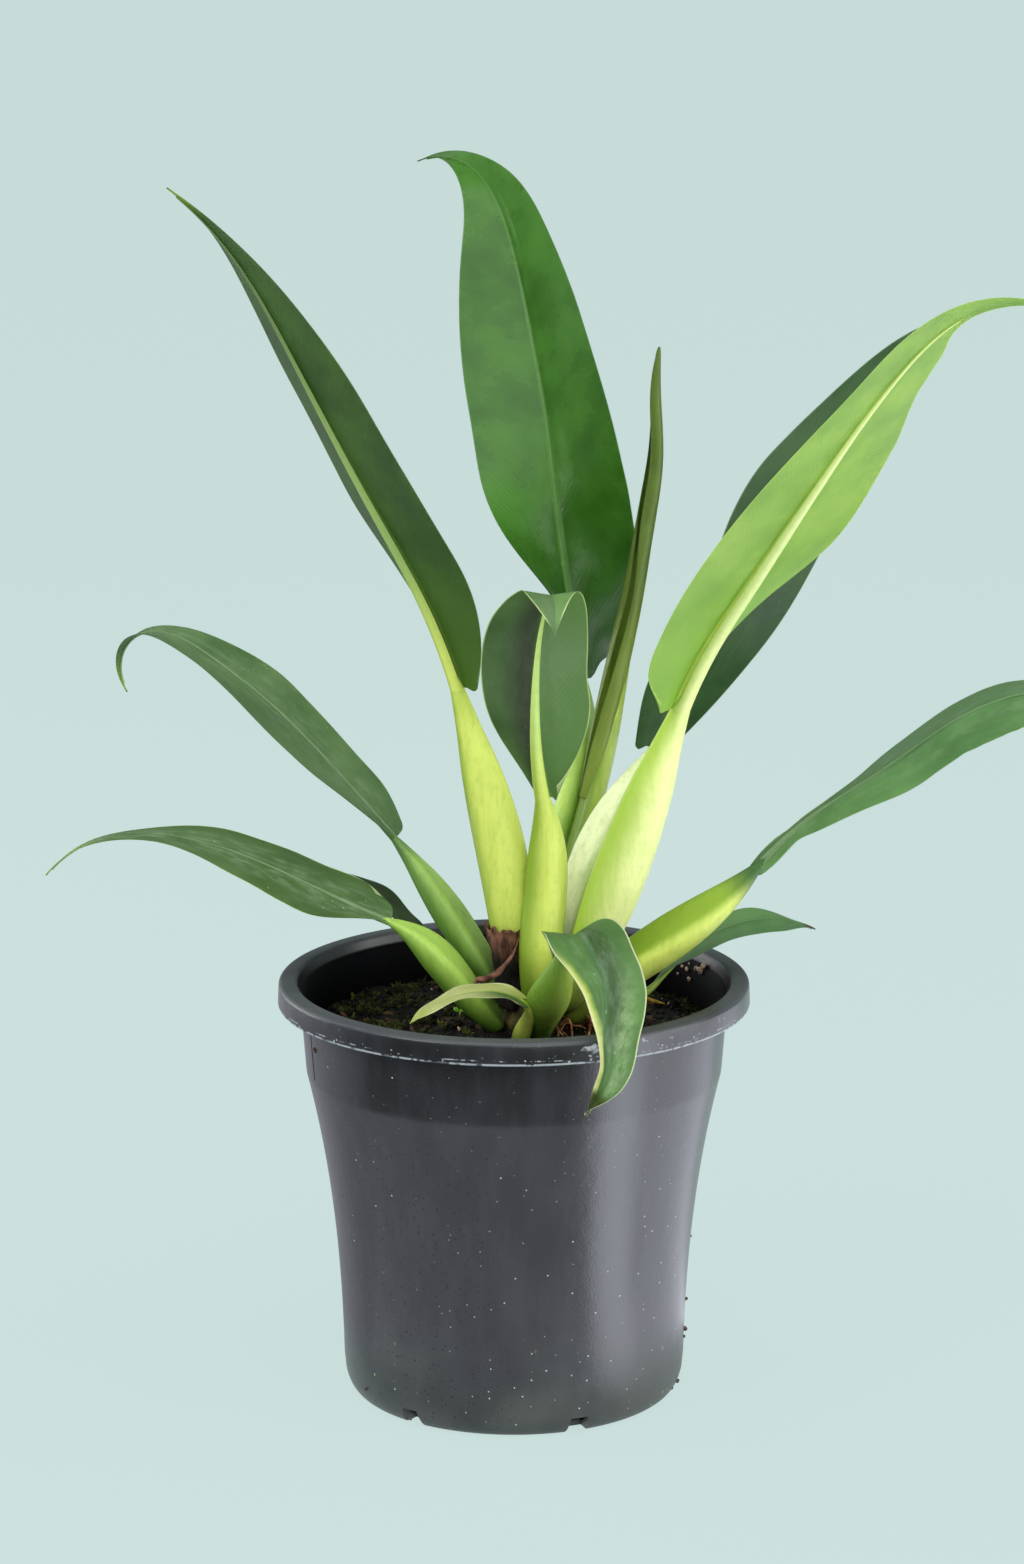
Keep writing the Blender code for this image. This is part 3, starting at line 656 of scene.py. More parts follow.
LEAVES = {
    # The shade entry sets the painted shade on the side of a stalk that is turned from the light.
    # foot and neck: ends of the stalk. start: lean from upright and heading at the foot. radii:
    # half widths from foot to neck. shade: the way, across and up the stalk, to its deeper side,
    # and where the deeper colour begins and is full. heading, lean, roll: along the blade, evenly
    # spaced. fold: rise of each half from the midrib. curl: further bend of each half. lobe: how
    # far the base sweeps back. corner: depth of its rounding. rise, fall: how the outline swells
    # from the neck and narrows to the tip. right, left: factors on the width of each half, for
    # one who looks at its upper side with the tip up. bow: how far the midrib strays to its right.
    "over_rim": dict(
        foot=(11, -17, 157), neck=(21, -50, 205), start=(14, -84), stalk=GREEN,
        radii=(3.4, 7.4, 9.2, 7.2, 2.8), shade=(0.9, 0.2, -0.3, 0.7), length=103, width=34,
        heading=(-47, -70, -84, -117, -203), lean=(19, 105, 128, 137, 168, 160), roll=(4, -6),
        fold=(14, 14), lobe=5, rise=0.63, fall=0.92,
        bow=(0, 0.3, 1.2, 1.0, -0.5, -0.8, 0.0, -0.5, -2.5, -2.0, 0),
        right=(0.5, 1.15, 1.1, 0.98, 0.8, 0.58, 0.36, 0.18, 0.2, 0.4, 0.6),
        left=(0.9, 1.05, 1.0, 0.92, 0.9, 0.94, 1.04, 1.15, 1.55, 2.6, 2.6)),
    "folded_front": dict(
        foot=(9, -12, 170), neck=(12, -24, 263), start=(8, -75), stalk=LIME,
        radii=(5.0, 7.2, 8.8, 9.2, 9.0, 8.7, 7.8, 5.8, 3.3), shade=(0.93, -0.36, -0.05, 0.7),
        length=145, width=43, heading=(-111, -81, -87), lean=(26, 24, 20, 38, 70, 170),
        roll=(-5, -4, 2), fold=(19, 19, 19, 12, 2), lobe=2, corner=8, rise=0.88, fall=1.15,
        rib_end=0.8,
        right=(1, 1, 1, 1, 1, 1, 1, 1, 1.05, 1.5, 1.5),
        left=(1, 1, 1.04, 1.03, 0.95, 0.98, 1, 1, 1, 1, 1)),
    "bright_right": dict(
        foot=(21, -7, 168), neck=(68.0, -37, 305), start=(24, -28), stalk=CREAMY,
        radii=(5.0, 8.4, 10.5, 12.0, 12.4, 11.8, 10.4, 7.4, 4.6), shade=(0, 1, -0.75, 0.2),
        length=272, width=78, heading=(-42, -54, -37, -18), lean=(26, 41, 41, 39, 51, 113),
        roll=(22, 6, -3, -22), fold=(1, 1), lobe=-2, corner=9, rise=0.5, fall=1.05, rib_end=0.84,
        right=(1.05, 1.25, 1.08, 0.95, 0.86, 0.84, 0.86, 0.92, 1.12, 1.3, 1.2),
        left=(1, 1, 1, 1, 1, 0.97, 0.95, 0.93, 0.93, 0.95, 1, 1.06, 1.04, 0.98, 0.95, 0.84, 0.43,
              0.2, 0.4, 0.6, 0.7)),
    "tall_left": dict(
        foot=(0, -3, 168), neck=(-23.3, -13, 308), start=(4, 0), stalk=LIME,
        radii=(5.5, 7.8, 10.2, 11.3, 11.5, 10.8, 9.0, 6.0, 3.3), shade=(0.55, -0.84, 0.5, 1.0),
        length=255, width=60, heading=(213, 214, 213), lean=(19, 31, 30, 32, 53),
        roll=(-6, 0, 0), fold=(11, 11), lobe=1, corner=6, rise=0.66, fall=1.2,
        right=(0.7, 0.85, 0.95, 1.08, 1.0, 0.96, 0.97, 0.98, 1.15, 1.4, 1.4),
        left=(1.0, 1.07, 1.08, 1.02, 1.0, 0.98, 1.02, 1.06, 1.12, 1.15, 1.3)),
    "low_left": dict(
        foot=(-5, -6, 159), neck=(-52, -10, 207), start=(46, 187), stalk=LEAFY,
        radii=(3.6, 5.6, 7.0, 7.9, 8.3, 8.1, 6.8, 4.4, 1.8), shade=(0, -1, -0.3, 0.6),
        length=157, width=44, heading=(172, 187, 197), lean=(70, 63.4, 70, 91, 140),
        roll=(-17, -6, 23), fold=(-1, -1), lobe=-1, corner=10, rise=0.7, fall=1.02,
        right=(1.6, 1.3, 1.1, 1.08, 1, 1.05, 1.04, 0.96, 0.9, 1, 1),
        left=(0.25, 0.85, 1.15, 1.12, 1.05, 1.15, 1.22, 1.3, 1.6, 1.8, 1.6)),
    "right_mid": dict(
        foot=(22, -1, 161), neck=(103, -1, 229), start=(38, -2), stalk=LIME,
        radii=(5.0, 7.2, 8.8, 9.8, 10.0, 9.4, 7.8, 5.2, 2.0), shade=(-0.3, 0.95, 0.1, 0.6),
        length=187.7, width=48, heading=(13, 6, 2), lean=(44, 58, 56, 82, 99),
        roll=(45, 32, 8, 5, 5, 7, 9, 11, 12), fold=(-7, -7), lobe=3, corner=5, rise=0.9,
        fall=0.83, rib_end=0.6, neck_shade=1.0, ragged=0.07,
        right=(0.9, 0.58, 0.39, 0.5, 0.63, 0.8, 0.96, 1.09, 1.17, 1.17, 1.17, 1.18, 1.2, 1.19,
               1.18, 1.33, 1.5, 1.55, 1.6, 1.55, 1.5),
        left=(0.6, 0.38, 0.19, 0.16, 0.16, 0.28, 0.48, 0.72, 0.88, 0.91, 0.9, 0.89, 0.88, 0.95,
              1.03, 1, 0.95, 1.02, 1.1, 1.15, 1.2)),
    "pale_front": dict(
        foot=(3.0, -20, 157), neck=(3.4, -38, 180), start=(20, -86), stalk=LIME,
        radii=(4.3, 4.0, 3.3, 2.5, 1.4), length=57, width=16, heading=(-158, -147, -141),
        lean=(55, 84, 101, 121), roll=(-22, -1, -6), fold=(2, 2), lobe=3, rise=0.44, fall=0.96),
    "dark_right": dict(
        foot=(22, 5, 170), neck=(60, 34, 271), start=(2, 30), stalk=PALE,
        radii=(4.5, 6.6, 8.4, 10.2, 11.4, 11.2, 9.6, 6.4, 3.0), shade=(0.74, -0.67, -0.65, 0.15),
        length=227, width=53, heading=(39, 40, 37), lean=(43, 43, 37, 42, 52), roll=(5, 10, 2),
        fold=(16, 16), lobe=3, corner=3, rise=0.62, fall=0.9,
        right=(1.15, 1.08, 1.02, 1.02, 1.03, 1.05, 1.0, 1.0, 1.0, 1.0, 1.0),
        left=(0.8, 0.9, 0.8, 0.75, 0.85, 0.98, 1.04, 1.0, 1.0, 1.1, 1.3)),
    "mid_left": dict(
        foot=(-2, 5, 167), neck=(-51, 26, 234.5), start=(36, 160), stalk=MOSSY,
        radii=(3.6, 5.6, 7.2, 7.8, 8.0, 7.4, 6.0, 3.9, 1.8), shade=(0, -1, -0.35, 0.25),
        length=180, width=41, heading=(156, 157, 152), lean=(46, 47, 56, 79, 214),
        roll=(8, -4, -2), fold=(9, 9), lobe=-1, corner=9, rise=0.46, fall=1.08, neck_shade=0.7,
        right=(1.02, 1.04, 0.95, 0.92, 0.92, 1.03, 1.07, 0.97, 0.7, 0.8, 1),
        left=(0.8, 1.25, 1.5, 1.42, 1.3, 1.2, 1.2, 1.4, 1.4, 1.2, 1)),
    "young_roll": dict(
        foot=(9, 12, 170), neck=(41, 42, 284), start=(22, 50), stalk=OLIVE,
        radii=(3.5, 4.2, 5.4, 5.6, 5.2), length=160, width=30, heading=(20, 16, 15, 15),
        lean=(11, 11, 11, 10, -2, 8), roll=(5, 60, 10, 0), fold=(0, 0), curl=168, lobe=36,
        corner=0, rise=0.06, fall=0.5),
    "tall_centre": dict(
        foot=(3, 14, 168), neck=(29, 62, 296), start=(28, 80), stalk=GREEN,
        radii=(4.5, 6.5, 7.6, 7.6, 3.2), length=275, width=62, heading=(123, 108, 118, 138),
        lean=(21, 18, 28, 34, 110), roll=(36, -22, -41, -26), fold=(26, 26), lobe=-7, corner=15,
        rise=0.78, fall=1.28,
        right=(1.9, 1.35, 1.05, 1, 1, 1, 1.02, 1, 0.97, 0.75, 0.7),
        left=(1, 1, 1, 1, 0.99, 1.05, 1.11, 1.15, 1.11, 1.15, 1.2)),
    "right_low": dict(
        foot=(20, 10, 157), neck=(62, 15, 175), start=(60, 0), stalk=GREEN,
        radii=(2.0, 2.6, 2.6, 2.3, 1.4), length=76, width=31, heading=(13, 1, 15),
        lean=(42, 58, 84, 119), roll=(-15, 5, 4), fold=(1, 1), lobe=3, rise=0.64, fall=0.91,
        right=(1.1, 1.1, 1.1, 1.1, 1.15, 1.1, 1.05, 1.1, 1.4, 1.4, 1.4),
        left=(1.05, 1.05, 1.05, 1.05, 1.05, 1.05, 1.05, 1.05, 1.0, 0.8, 1.2)),
    "back_left": dict(
        foot=(0, 11, 158), neck=(-39, 29, 190), start=(60, 150), stalk=GREEN,
        radii=(3.0, 4.2, 4.2, 3.5, 1.8), length=58, width=21, heading=(151, 151),
        lean=(68, 54, 72, 108), roll=(10, 8, 0), fold=(11, 11), lobe=2, rise=0.65, fall=0.9),
}


def along(keys, t):
    """Smooth curve through evenly spaced keys, read at t from 0 to 1."""
    last = len(keys) - 1
    step = min(int(t * last), last - 1)
    f = t * last - step
    b, c = keys[step], keys[step + 1]
    a = keys[step - 1] if step > 0 else 2 * b - c
    d = keys[step + 2] if step + 2 <= last else 2 * c - b
    return b + 0.5 * f * (c - a + f * (2 * a - 5 * b + 4 * c - d + f * (3 * (b - c) + d - a)))


def pointing(lean, heading):
    """Unit vector at an angle from upright, turned to a heading from +X."""
    lean, heading = math.radians(lean), math.radians(heading)
    flat = math.sin(lean)
    return Vector((flat * math.cos(heading), flat * math.sin(heading), math.cos(lean)))


def rolled(up, side, angle):
    """Two directions turned together, up towards side."""
    return (up * math.cos(angle) + side * math.sin(angle),
            side * math.cos(angle) - up * math.sin(angle))


def grooved(height):
    """A round section's height, flattened and grooved on the upper side."""
    return FLAT_TOP * height ** 0.7 - GROOVE * height ** 5


def stalk_section(leaf, t):
    """Centre, upward and sideways directions and half width of a stalk at t along it."""
    foot, neck = Vector(leaf["foot"]), Vector(leaf["neck"])
    reach = (neck - foot).length * STALK_REACH
    a = foot + pointing(*leaf["start"]) * reach
    b = neck - pointing(leaf["lean"][0], leaf["heading"][0]) * reach
    s = 1 - t
    centre = foot * s ** 3 + 3 * a * t * s * s + 3 * b * t * t * s + neck * t ** 3
    ahead = ((a - foot) * s * s + 2 * (b - a) * t * s + (neck - b) * t * t).normalized()
    heading = math.radians(leaf["heading"][0])
    hinge = Vector((math.sin(heading), -math.cos(heading), 0))
    side = (hinge - ahead * hinge.dot(ahead)).normalized()
    up, side = rolled(side.cross(ahead), side, math.radians(leaf["roll"][0] * t))
    return centre, up, side, along(leaf["radii"], t)


def stalk_mesh(leaf):
    """A loft of rings; the skin remembers how far along and how high on the section it lies."""
    def section(t, angle):
        centre, up, side, radius = stalk_section(leaf, t)
        radius *= math.sqrt(1 - max(0.0, 1 - t / ROUND_FOOT) ** 2 * 0.9)
        height = math.sin(angle)
        rise = grooved(height) if height > 0 else height
        point = centre + radius * (side * math.cos(angle) + up * rise)
        return point, (t, height, math.cos(angle))

    return loft(section, STALK_RINGS, ("along", "height", "side"), STALK_SIDES)


def stalk_look(name, leaf):
    """Painted shade: deeper away from the light, towards its foot and, on some, at its neck."""
    _, bright, deep = leaf["stalk"]
    look = Look(f"{name}_stalk_skin", specular=0.4)
    look.shader.inputs["Subsurface Weight"].default_value = 0.1
    look.shader.inputs["Subsurface Radius"].default_value = (0.01, 0.008, 0.002)
    look.shader.inputs["Subsurface Scale"].default_value = 1.0
    length, height, side = look.attributes("along", "height", "side")
    fibres = look.cloud(0.004, 4.0, 0.6, (1, 1, 0.12))
    blotches = look.cloud(0.018, 3.0)
    pores = look.cloud(0.0022, 3.0, 0.6, (1, 1, 0.5))
    across, up, start, full = leaf.get("shade", PLAIN_SHADE)
    # Painted shade on the side turned from the light.
    painted_shade_side = (side * across + height * up + fibres * 0.3).rises(start, full + 0.3)
    look.colour = look.blend(bright, deep, painted_shade_side * 0.9)
    look.cover(deep, fibres.rises(0.45, 0.8) * 0.25 + blotches.rises(0.45, 0.8) * 0.25)
    look.cover(deep, pores.rises(0.5, 0.7) * 0.16)
    # Painted shade towards the foot, darkest at the foot itself, and a little at the neck.
    look.cover(deep, length.falls(0.05, 0.4) * 0.5 + length.rises(0.85, 1.0) * 0.15)
    look.cover((*(part * FOOT_SHADE for part in deep[:3]), 1.0), length.falls(0.0, 0.34) * 0.8)
    look.cover(deep, look.dots(0.0022, 0.0004, 0.3) * 0.6)
    # Painted shade at the neck of some stalks, beneath their blades.
    look.cover(NECK_SHADE_GREEN, length.rises(0.8, 0.98) * leaf.get("neck_shade", 0.0))
    normal = look.bump(fibres + blotches * 0.5 + pores * 0.5, 0.0005)
    return look.wear(0.36 + fibres * 0.15, normal)


for name, leaf in LEAVES.items():
    add_piece(f"{name}_petiole", stalk_mesh(leaf), stalk_look(name, leaf), leaf["stalk"][0],
              f"{name}_stalk", sharp=STALK_CREASE)

# The dried sheath is the torn brown sleeve of an old leaf round the foot of the tallest stalk. It
# is thin, crumpled and split, and one strip of it hangs off, twisted, across its neighbours.
HUSK_TOP = 0.255            # how far up it reaches, of that stalk's length
HUSK_TEAR = 0.06            # how far its torn upper edge wanders
HUSK_FOLDS = 2.0            # depth of its crumples
HUSK_THICKNESS = 0.5
STRIP = [Vector(place) for place in (
    (3.0, -13.0, 202.0), (1.0, -14.5, 197.6), (-2.1, -16.0, 192.4), (-7.1, -17.6, 187.2),
    (-11.7, -18.4, 184.4), (-15.2, -18.6, 183.6), (-15.8, -18.2, 180.6))]
STRIP_WIDTH = 1.9
STRIP_TWIST = 3.4


def husk_mesh():
    """A grid wrapped into a sleeve, crumpled, torn above and given a thickness."""
    stalk = LEAVES["tall_left"]
    bm = bmesh.new()
    bmesh.ops.create_grid(bm, x_segments=96, y_segments=40, size=1.0)
    climb_layer = bm.verts.layers.float.new("climb")
    for vert in bm.verts:
        angle, climb = math.pi * vert.co.x, (vert.co.y + 1) / 2
        turn = Vector((math.cos(angle), math.sin(angle), 0))
        torn = HUSK_TOP + HUSK_TEAR * (noise.noise(turn * 1.3) + 0.6 * noise.noise(turn * 4.0))
        centre, up, side, radius = stalk_section(stalk, torn * climb)
        folds = abs(noise.noise(turn * 2.6 + Vector((0, 0, climb * 2.2)))) * 2
        folds += noise.noise(turn * 7 + Vector((5, 0, climb * 4))) * 0.5
        radius += 0.7 + HUSK_FOLDS * folds * (0.5 + climb * 0.5)
        vert[climb_layer] = climb
        vert.co = centre + radius * (side * turn.x + up * turn.y)
    bmesh.ops.remove_doubles(bm, verts=bm.verts, dist=0.01)
    bmesh.ops.recalc_face_normals(bm, faces=bm.faces)
    bmesh.ops.solidify(bm, geom=bm.faces[:], thickness=HUSK_THICKNESS)
    return bm


def strip_mesh():
    """A narrow ribbon, twisted along its path and curled at its free end."""
    def section(t, angle):
        behind, beyond = max(0.0, t - 0.02), min(1.0, t + 0.02)
        forward = (along(STRIP, beyond) - along(STRIP, behind)).normalized()
        across = forward.cross(Vector((0, -1, 0))).normalized()
        out = across.cross(forward)
        wide = STRIP_WIDTH * (1 - 0.2 * t) * (0.85 + 0.3 * noise.noise(Vector((t * 7, 0, 2))))
        flat = 0.55 * (1 + 0.4 * math.sin(3 * angle + t * 9))
        x, y = wide * math.cos(angle), flat * math.sin(angle) + 0.35 * math.cos(angle) ** 2 * wide
        y, x = rolled(y, x, STRIP_TWIST * t + 0.6)
        return along(STRIP, t) + across * x + out * y, (0.9,)

    return loft(section, 60, ("climb",), 24)


def husk_look():
    look = Look("dry_husk", specular=0.3)
    climb, = look.attributes("climb")
    threads = look.cloud(0.0022, 4.0, 0.6, (1, 1, 0.25))
    patches = look.cloud(0.007, 3.0)
    look.colour = look.blend(paint(78, 46, 34), paint(132, 90, 72), patches.rises(0.35, 0.65))
    look.cover(paint(44, 24, 16), threads.rises(0.45, 0.65) * 0.8)
    # Painted shadow: the sheath turns near black towards its foot, down among the stalks.
    look.cover(paint(16, 10, 6), climb.falls(0.5, 0.95))
    return look.wear(0.6 + threads * 0.3, look.bump(threads + patches, 0.0008))


husk_skin = husk_look()
add_piece("sheath_husk", husk_mesh(), husk_skin, "dried_sheath", "dried_sheath")
add_piece("sheath_strip", strip_mesh(), husk_skin, "dried_sheath")

# Every blade is one leathery leaf: two halves with fine side veins and a thin pale margin, joined
# by a midrib that starts as wide as the stalk's neck and stands out as a ridge beneath.
BLADE_COLUMNS = 32
BLADE_ROWS = 120
BLADE_THICKNESS = 0.6
TIP_HALF_WIDTH = 0.3
BLUNT_BASE = 0.05
ROW_SPREAD = 1.3            # above 1, the rows lie closer near the base
LOBE_SPAN = 0.32            # share of the blade over which the rounded base fades out
LOBE_PEAK = 0.5             # share of a half at which its lobe reaches furthest back
LOBE_ROUND = 0.35           # share of a half at which its corner starts to turn
BASE_CORNER = 6             # depth of the rounded corner
NO_CURL = 0.006
WAVES = 2.3                 # along each margin
WAVE_DEPTH = 0.6
VEIN_SPACING = 3.2
SEAT = 0.5                  # height at which the blade's upper side meets the neck
RIB_TIP = 0.4
RIB_END = 0.97              # share of the blade at which the midrib has thinned to its tip
RIB_LAST = 0.985            # share of the blade that it never passes
RIB_TAPER = 1.3
RIB_REACH = 1.2
RIB_SHARE = 0.35
RIB_SIDES = 16
WHOLE_BLADE = (900, 990)    # a fade that lies beyond the tip of any blade


def rib_width(leaf, t):
    """Half the width of the midrib, which starts as wide as the stalk's neck."""
    left = max(0.0, 1 - t / leaf.get("rib_end", RIB_END))
    return RIB_TIP + (leaf["radii"][-1] - RIB_TIP) * left ** RIB_TAPER


def half_width(leaf, t, sign):
    """Half the width of a blade at t from its neck to its tip, on its right (1) or left (-1)."""
    rise, fall = leaf["rise"], leaf["fall"]
    widest = rise / (rise + fall)
    shape = ((t + BLUNT_BASE) / widest) ** rise * ((1 - t) / (1 - widest)) ** fall
    shape *= along(leaf.get("right" if sign > 0 else "left", (1, 1)), t)
    ragged = leaf.get("ragged", 0) * sign
    if ragged > 0:
        shape *= 1 + ragged * noise.noise(Vector((t * 26, 3, 7))) * min(1, 4 * max(0, t - 0.4))
    return max(TIP_HALF_WIDTH, leaf["width"] / 2 * shape)


def blade_spine(leaf):
    """Points down the middle of a blade, each with its ahead, up and side directions."""
    spine = []
    point = Vector(leaf["neck"])
    fine = 2                # steps from one row to the next
    reached = 0.0
    for number in range(BLADE_ROWS * fine + 1):
        t = (number / (BLADE_ROWS * fine)) ** ROW_SPREAD
        lean, heading = along(leaf["lean"], t), along(leaf["heading"], t)
        ahead = pointing(lean, heading)
        point += ahead * leaf["length"] * (t - reached)
        reached = t
        if number % fine == 0:
            up = -pointing(lean + 90, heading)
            up, side = rolled(up, ahead.cross(up), math.radians(along(leaf["roll"], t)))
            spine.append((point + side * along(leaf.get("bow", (0, 0)), t), ahead, up, side))
    return spine


def sweep_back(leaf, t, share):
    """How far a point lies behind its row: each half has a rounded base that fades out."""
    fade = max(0.0, 1 - t / LOBE_SPAN) ** 2
    ear = min(1.0, share / LOBE_PEAK)
    turn = max(0.0, (share - LOBE_ROUND) / (1 - LOBE_ROUND))
    ear = leaf["lobe"] * ear * ear * (3 - 2 * ear)
    return fade * (ear - leaf.get("corner", BASE_CORNER) * (1 - math.sqrt(1 - turn * turn)))


def blade_mesh(leaf):
    """A grid given thickness and bent to the leaf's form; its points remember where they lie."""
    bm = bmesh.new()
    bmesh.ops.create_grid(bm, x_segments=BLADE_COLUMNS, y_segments=BLADE_ROWS, size=1.0)
    copied = bmesh.ops.extrude_face_region(bm, geom=bm.faces[:], use_keep_orig=True)
    lower = {piece for piece in copied["geom"] if isinstance(piece, bmesh.types.BMVert)}
    names = ("across", "reach", "ahead", "edge", "rib", "under", "tail")
    layers = [bm.verts.layers.float.new(name) for name in names]
    spine = blade_spine(leaf)
    curl = math.radians(leaf.get("curl", NO_CURL))
    for vert in bm.verts:
        row = round((vert.co.y + 1) / 2 * BLADE_ROWS)
        column = round(vert.co.x * BLADE_COLUMNS / 2)
        sign = (column > 0) - (column < 0)
        t = (row / BLADE_ROWS) ** ROW_SPREAD
        point, ahead, up, side = spine[row]
        half, rib = half_width(leaf, t, sign), rib_width(leaf, t)
        # The first columns cover the midrib, and the others close up towards the margin.
        step = abs(column) / (BLADE_COLUMNS / 2) * 4
        rib_half = min(RIB_REACH * rib, RIB_SHARE * half)
        outward = math.sin(max(0, step - 1) * math.pi / 6)
        reach = rib_half * min(1, step) + (half - rib_half) * outward
        fold = math.radians(along(leaf["fold"], t))
        bend = fold + curl * reach / half
        sideways = half * (math.sin(bend) - math.sin(fold)) / curl
        upwards = half * (math.cos(fold) - math.cos(bend)) / curl + SEAT * rib
        if curl > math.pi / 2:
            upwards -= half / curl
        upwards += WAVE_DEPTH * math.sin(math.tau * WAVES * t + sign) * (reach / half) ** 2
        if vert in lower:
            sideways += math.sin(bend) * BLADE_THICKNESS
            upwards -= math.cos(bend) * BLADE_THICKNESS
        else:
            upwards -= 0.3 * rib * max(0.0, 1 - reach / (RIB_REACH * rib)) ** 2
        share = min(1.0, max(0.0, reach - rib) / max(half - rib, 1.0))
        values = (sign * reach / half, reach, t * leaf["length"], half - reach,
                  reach / max(rib, 0.2), float(vert in lower), (1 - t) * leaf["length"])
        for layer, value in zip(layers, values):
            vert[layer] = value
        vert.co = point + side * sideways * sign + up * upwards - ahead * sweep_back(leaf, t, share)
    bmesh.ops.recalc_face_normals(bm, faces=bm.faces)
    return bm


def midrib_mesh(leaf):
    """The stalk's own skin carried on under the blade, tapering to its tip."""
    spine = blade_spine(leaf)
    end = min(RIB_LAST, leaf.get("rib_end", RIB_END) + 0.03)

    def section(t, angle):
        t = min(t * end, RIB_LAST) ** ROW_SPREAD
        point, _, up, side = spine[round(t ** (1 / ROW_SPREAD) * BLADE_ROWS)]
        height = rise = math.sin(angle)
        if height > 0:
            seated = min(1.0, t / 0.03)
            rise = grooved(height) * (1 - seated) + 0.1 * height * seated
        place = point + rib_width(leaf, t) * (side * math.cos(angle) + up * rise)
        return place, (t, height, math.cos(angle))

    return loft(section, BLADE_ROWS, ("along", "height", "side"), RIB_SIDES)


def blade_look(name, faces, rib, margin, gloss, **extra):
    """faces: two colours that mottle the upper side, and two for the lower one. Lengths are in mm.

    left: a colour over the left half, painted light on some blades and painted shade on others.
    core: painted shade, a deeper colour beside the midrib, on one half.
    streak: a pale band on the left half. cream: a variegated right margin. film: dusty streaks.
    """
    look = Look(f"{name}_blade_skin", specular=0.5)
    across, reach, ahead, edge, ratio, under, tail = look.attributes(
        "across", "reach", "ahead", "edge", "rib", "under", "tail")
    mottle = look.cloud(0.03, 4.0, 0.6).rises(0.3, 0.7)
    veins = (ahead - reach * 1.3 + look.cloud(0.02) * 3.0) * (math.tau / VEIN_SPACING)
    veins = veins.sine()
    above = look.blend(*faces[:2], mottle)
    below = look.blend(*faces[2:], mottle)
    look.colour = look.blend(above, below, under.rises(0.4, 0.6))
    # The left half's colour: painted light on some blades and painted shade on others.
    if "left" in extra:
        span = ahead.falls(*extra.get("left_span", WHOLE_BLADE))
        look.cover(extra["left"], across.falls(-0.1, 0.0) * span)
    # Painted shade beside the midrib, on the half that the fold turns from the light.
    if "core" in extra:
        deep, half, share = extra["core"]
        inward = across * half
        painted_midrib_shade = inward.rises(0.0, 0.15) * inward.falls(0.2, 0.75) * tail.rises(26, 40)
        look.cover(deep, painted_midrib_shade * share)
    if "streak" in extra:
        pale, start, end = extra["streak"]
        band = across.rises(-0.95, -0.6) * across.falls(-0.5, -0.2)
        band = band * ahead.rises(start, start + 30) * ahead.falls(end - 8, end)
        band = band * look.cloud(0.004, 4.0, 0.7, (1, 1, 0.3)).rises(0.25, 0.75)
        look.cover(pale, band * 0.75)
    if "spots" in extra:
        look.cover(faces[2], look.dots(0.012, 0.0016, extra["spots"]) * 0.6)
    if "base" in extra:
        look.cover(extra["base"], ahead.falls(0, 90) * 0.8)
    look.cover(faces[3], veins.rises(0.5, 1.0) * 0.02)
    look.cover(rib, ratio.falls(0.5, 1.0) * tail.rises(*extra.get("rib_fade", (0, 40))) * 0.8)
    if "cream" in extra:
        spread = look.cloud(0.01, 4.0, 0.6) * 5.0 + look.cloud(0.03) * 3.0
        side = across.rises(0.0, 0.3) * ahead.rises(26, 46)
        look.cover(paint(176, 196, 84), (edge - spread).falls(-2.0, 1.0) * side)
        look.cover(extra["cream"], (edge - spread).falls(-3.5, -1.0) * side)
    if "tip" in extra:
        span = tail.falls(extra.get("tip_start", 2), extra.get("tip_reach", 22))
        look.cover(extra["tip"], span)
    rim = edge.falls(0.2, extra.get("margin_width", 0.7)) * (edge + reach).rises(1.5, 4)
    look.cover(margin, rim * 0.9)
    dust = extra.get("dust", 0.0)
    if dust:
        skin = look.node("ShaderNodeCombineXYZ", {}, {0: ahead * 0.25, 1: across * 14, 2: under * 5})
        sockets = {"Vector": skin, "Scale": 0.32, "Detail": 5.0, "Roughness": 0.65}
        streaky = look.node("ShaderNodeTexNoise", {}, sockets)
        film = streaky.rises(0.42, 0.68) * abs(across).falls(0.3, 0.9)
        flecks = look.dots(0.0045, 0.001, 0.35, (1, 1, 0.5)) + film * extra.get("film", 0.5)
        look.cover(paint(186, 204, 178), flecks * dust)
    wrinkles = look.cloud(0.012, 3.0, 0.5, (0.5, 1, 1)) * ratio.falls(1.5, 5.0)
    ridges = wrinkles * extra.get("wrinkled", 1.0) + veins * extra.get("veined", 0.02)
    bumpy = look.bump(ridges + look.cloud(0.05, 2.0) * 2.0, 0.0006)
    # The ridges die out where the blade is narrow, in the normal itself and not in its height.
    plain = look.node("ShaderNodeNewGeometry", {}, {}, "Normal")
    sockets = {0: (edge + reach).rises(8, 20), 4: plain, 5: bumpy}
    normal = look.node("ShaderNodeMix", {"data_type": "VECTOR"}, sockets, 1)
    return look.wear(gloss + mottle * 0.1 + dust * 0.12, normal)


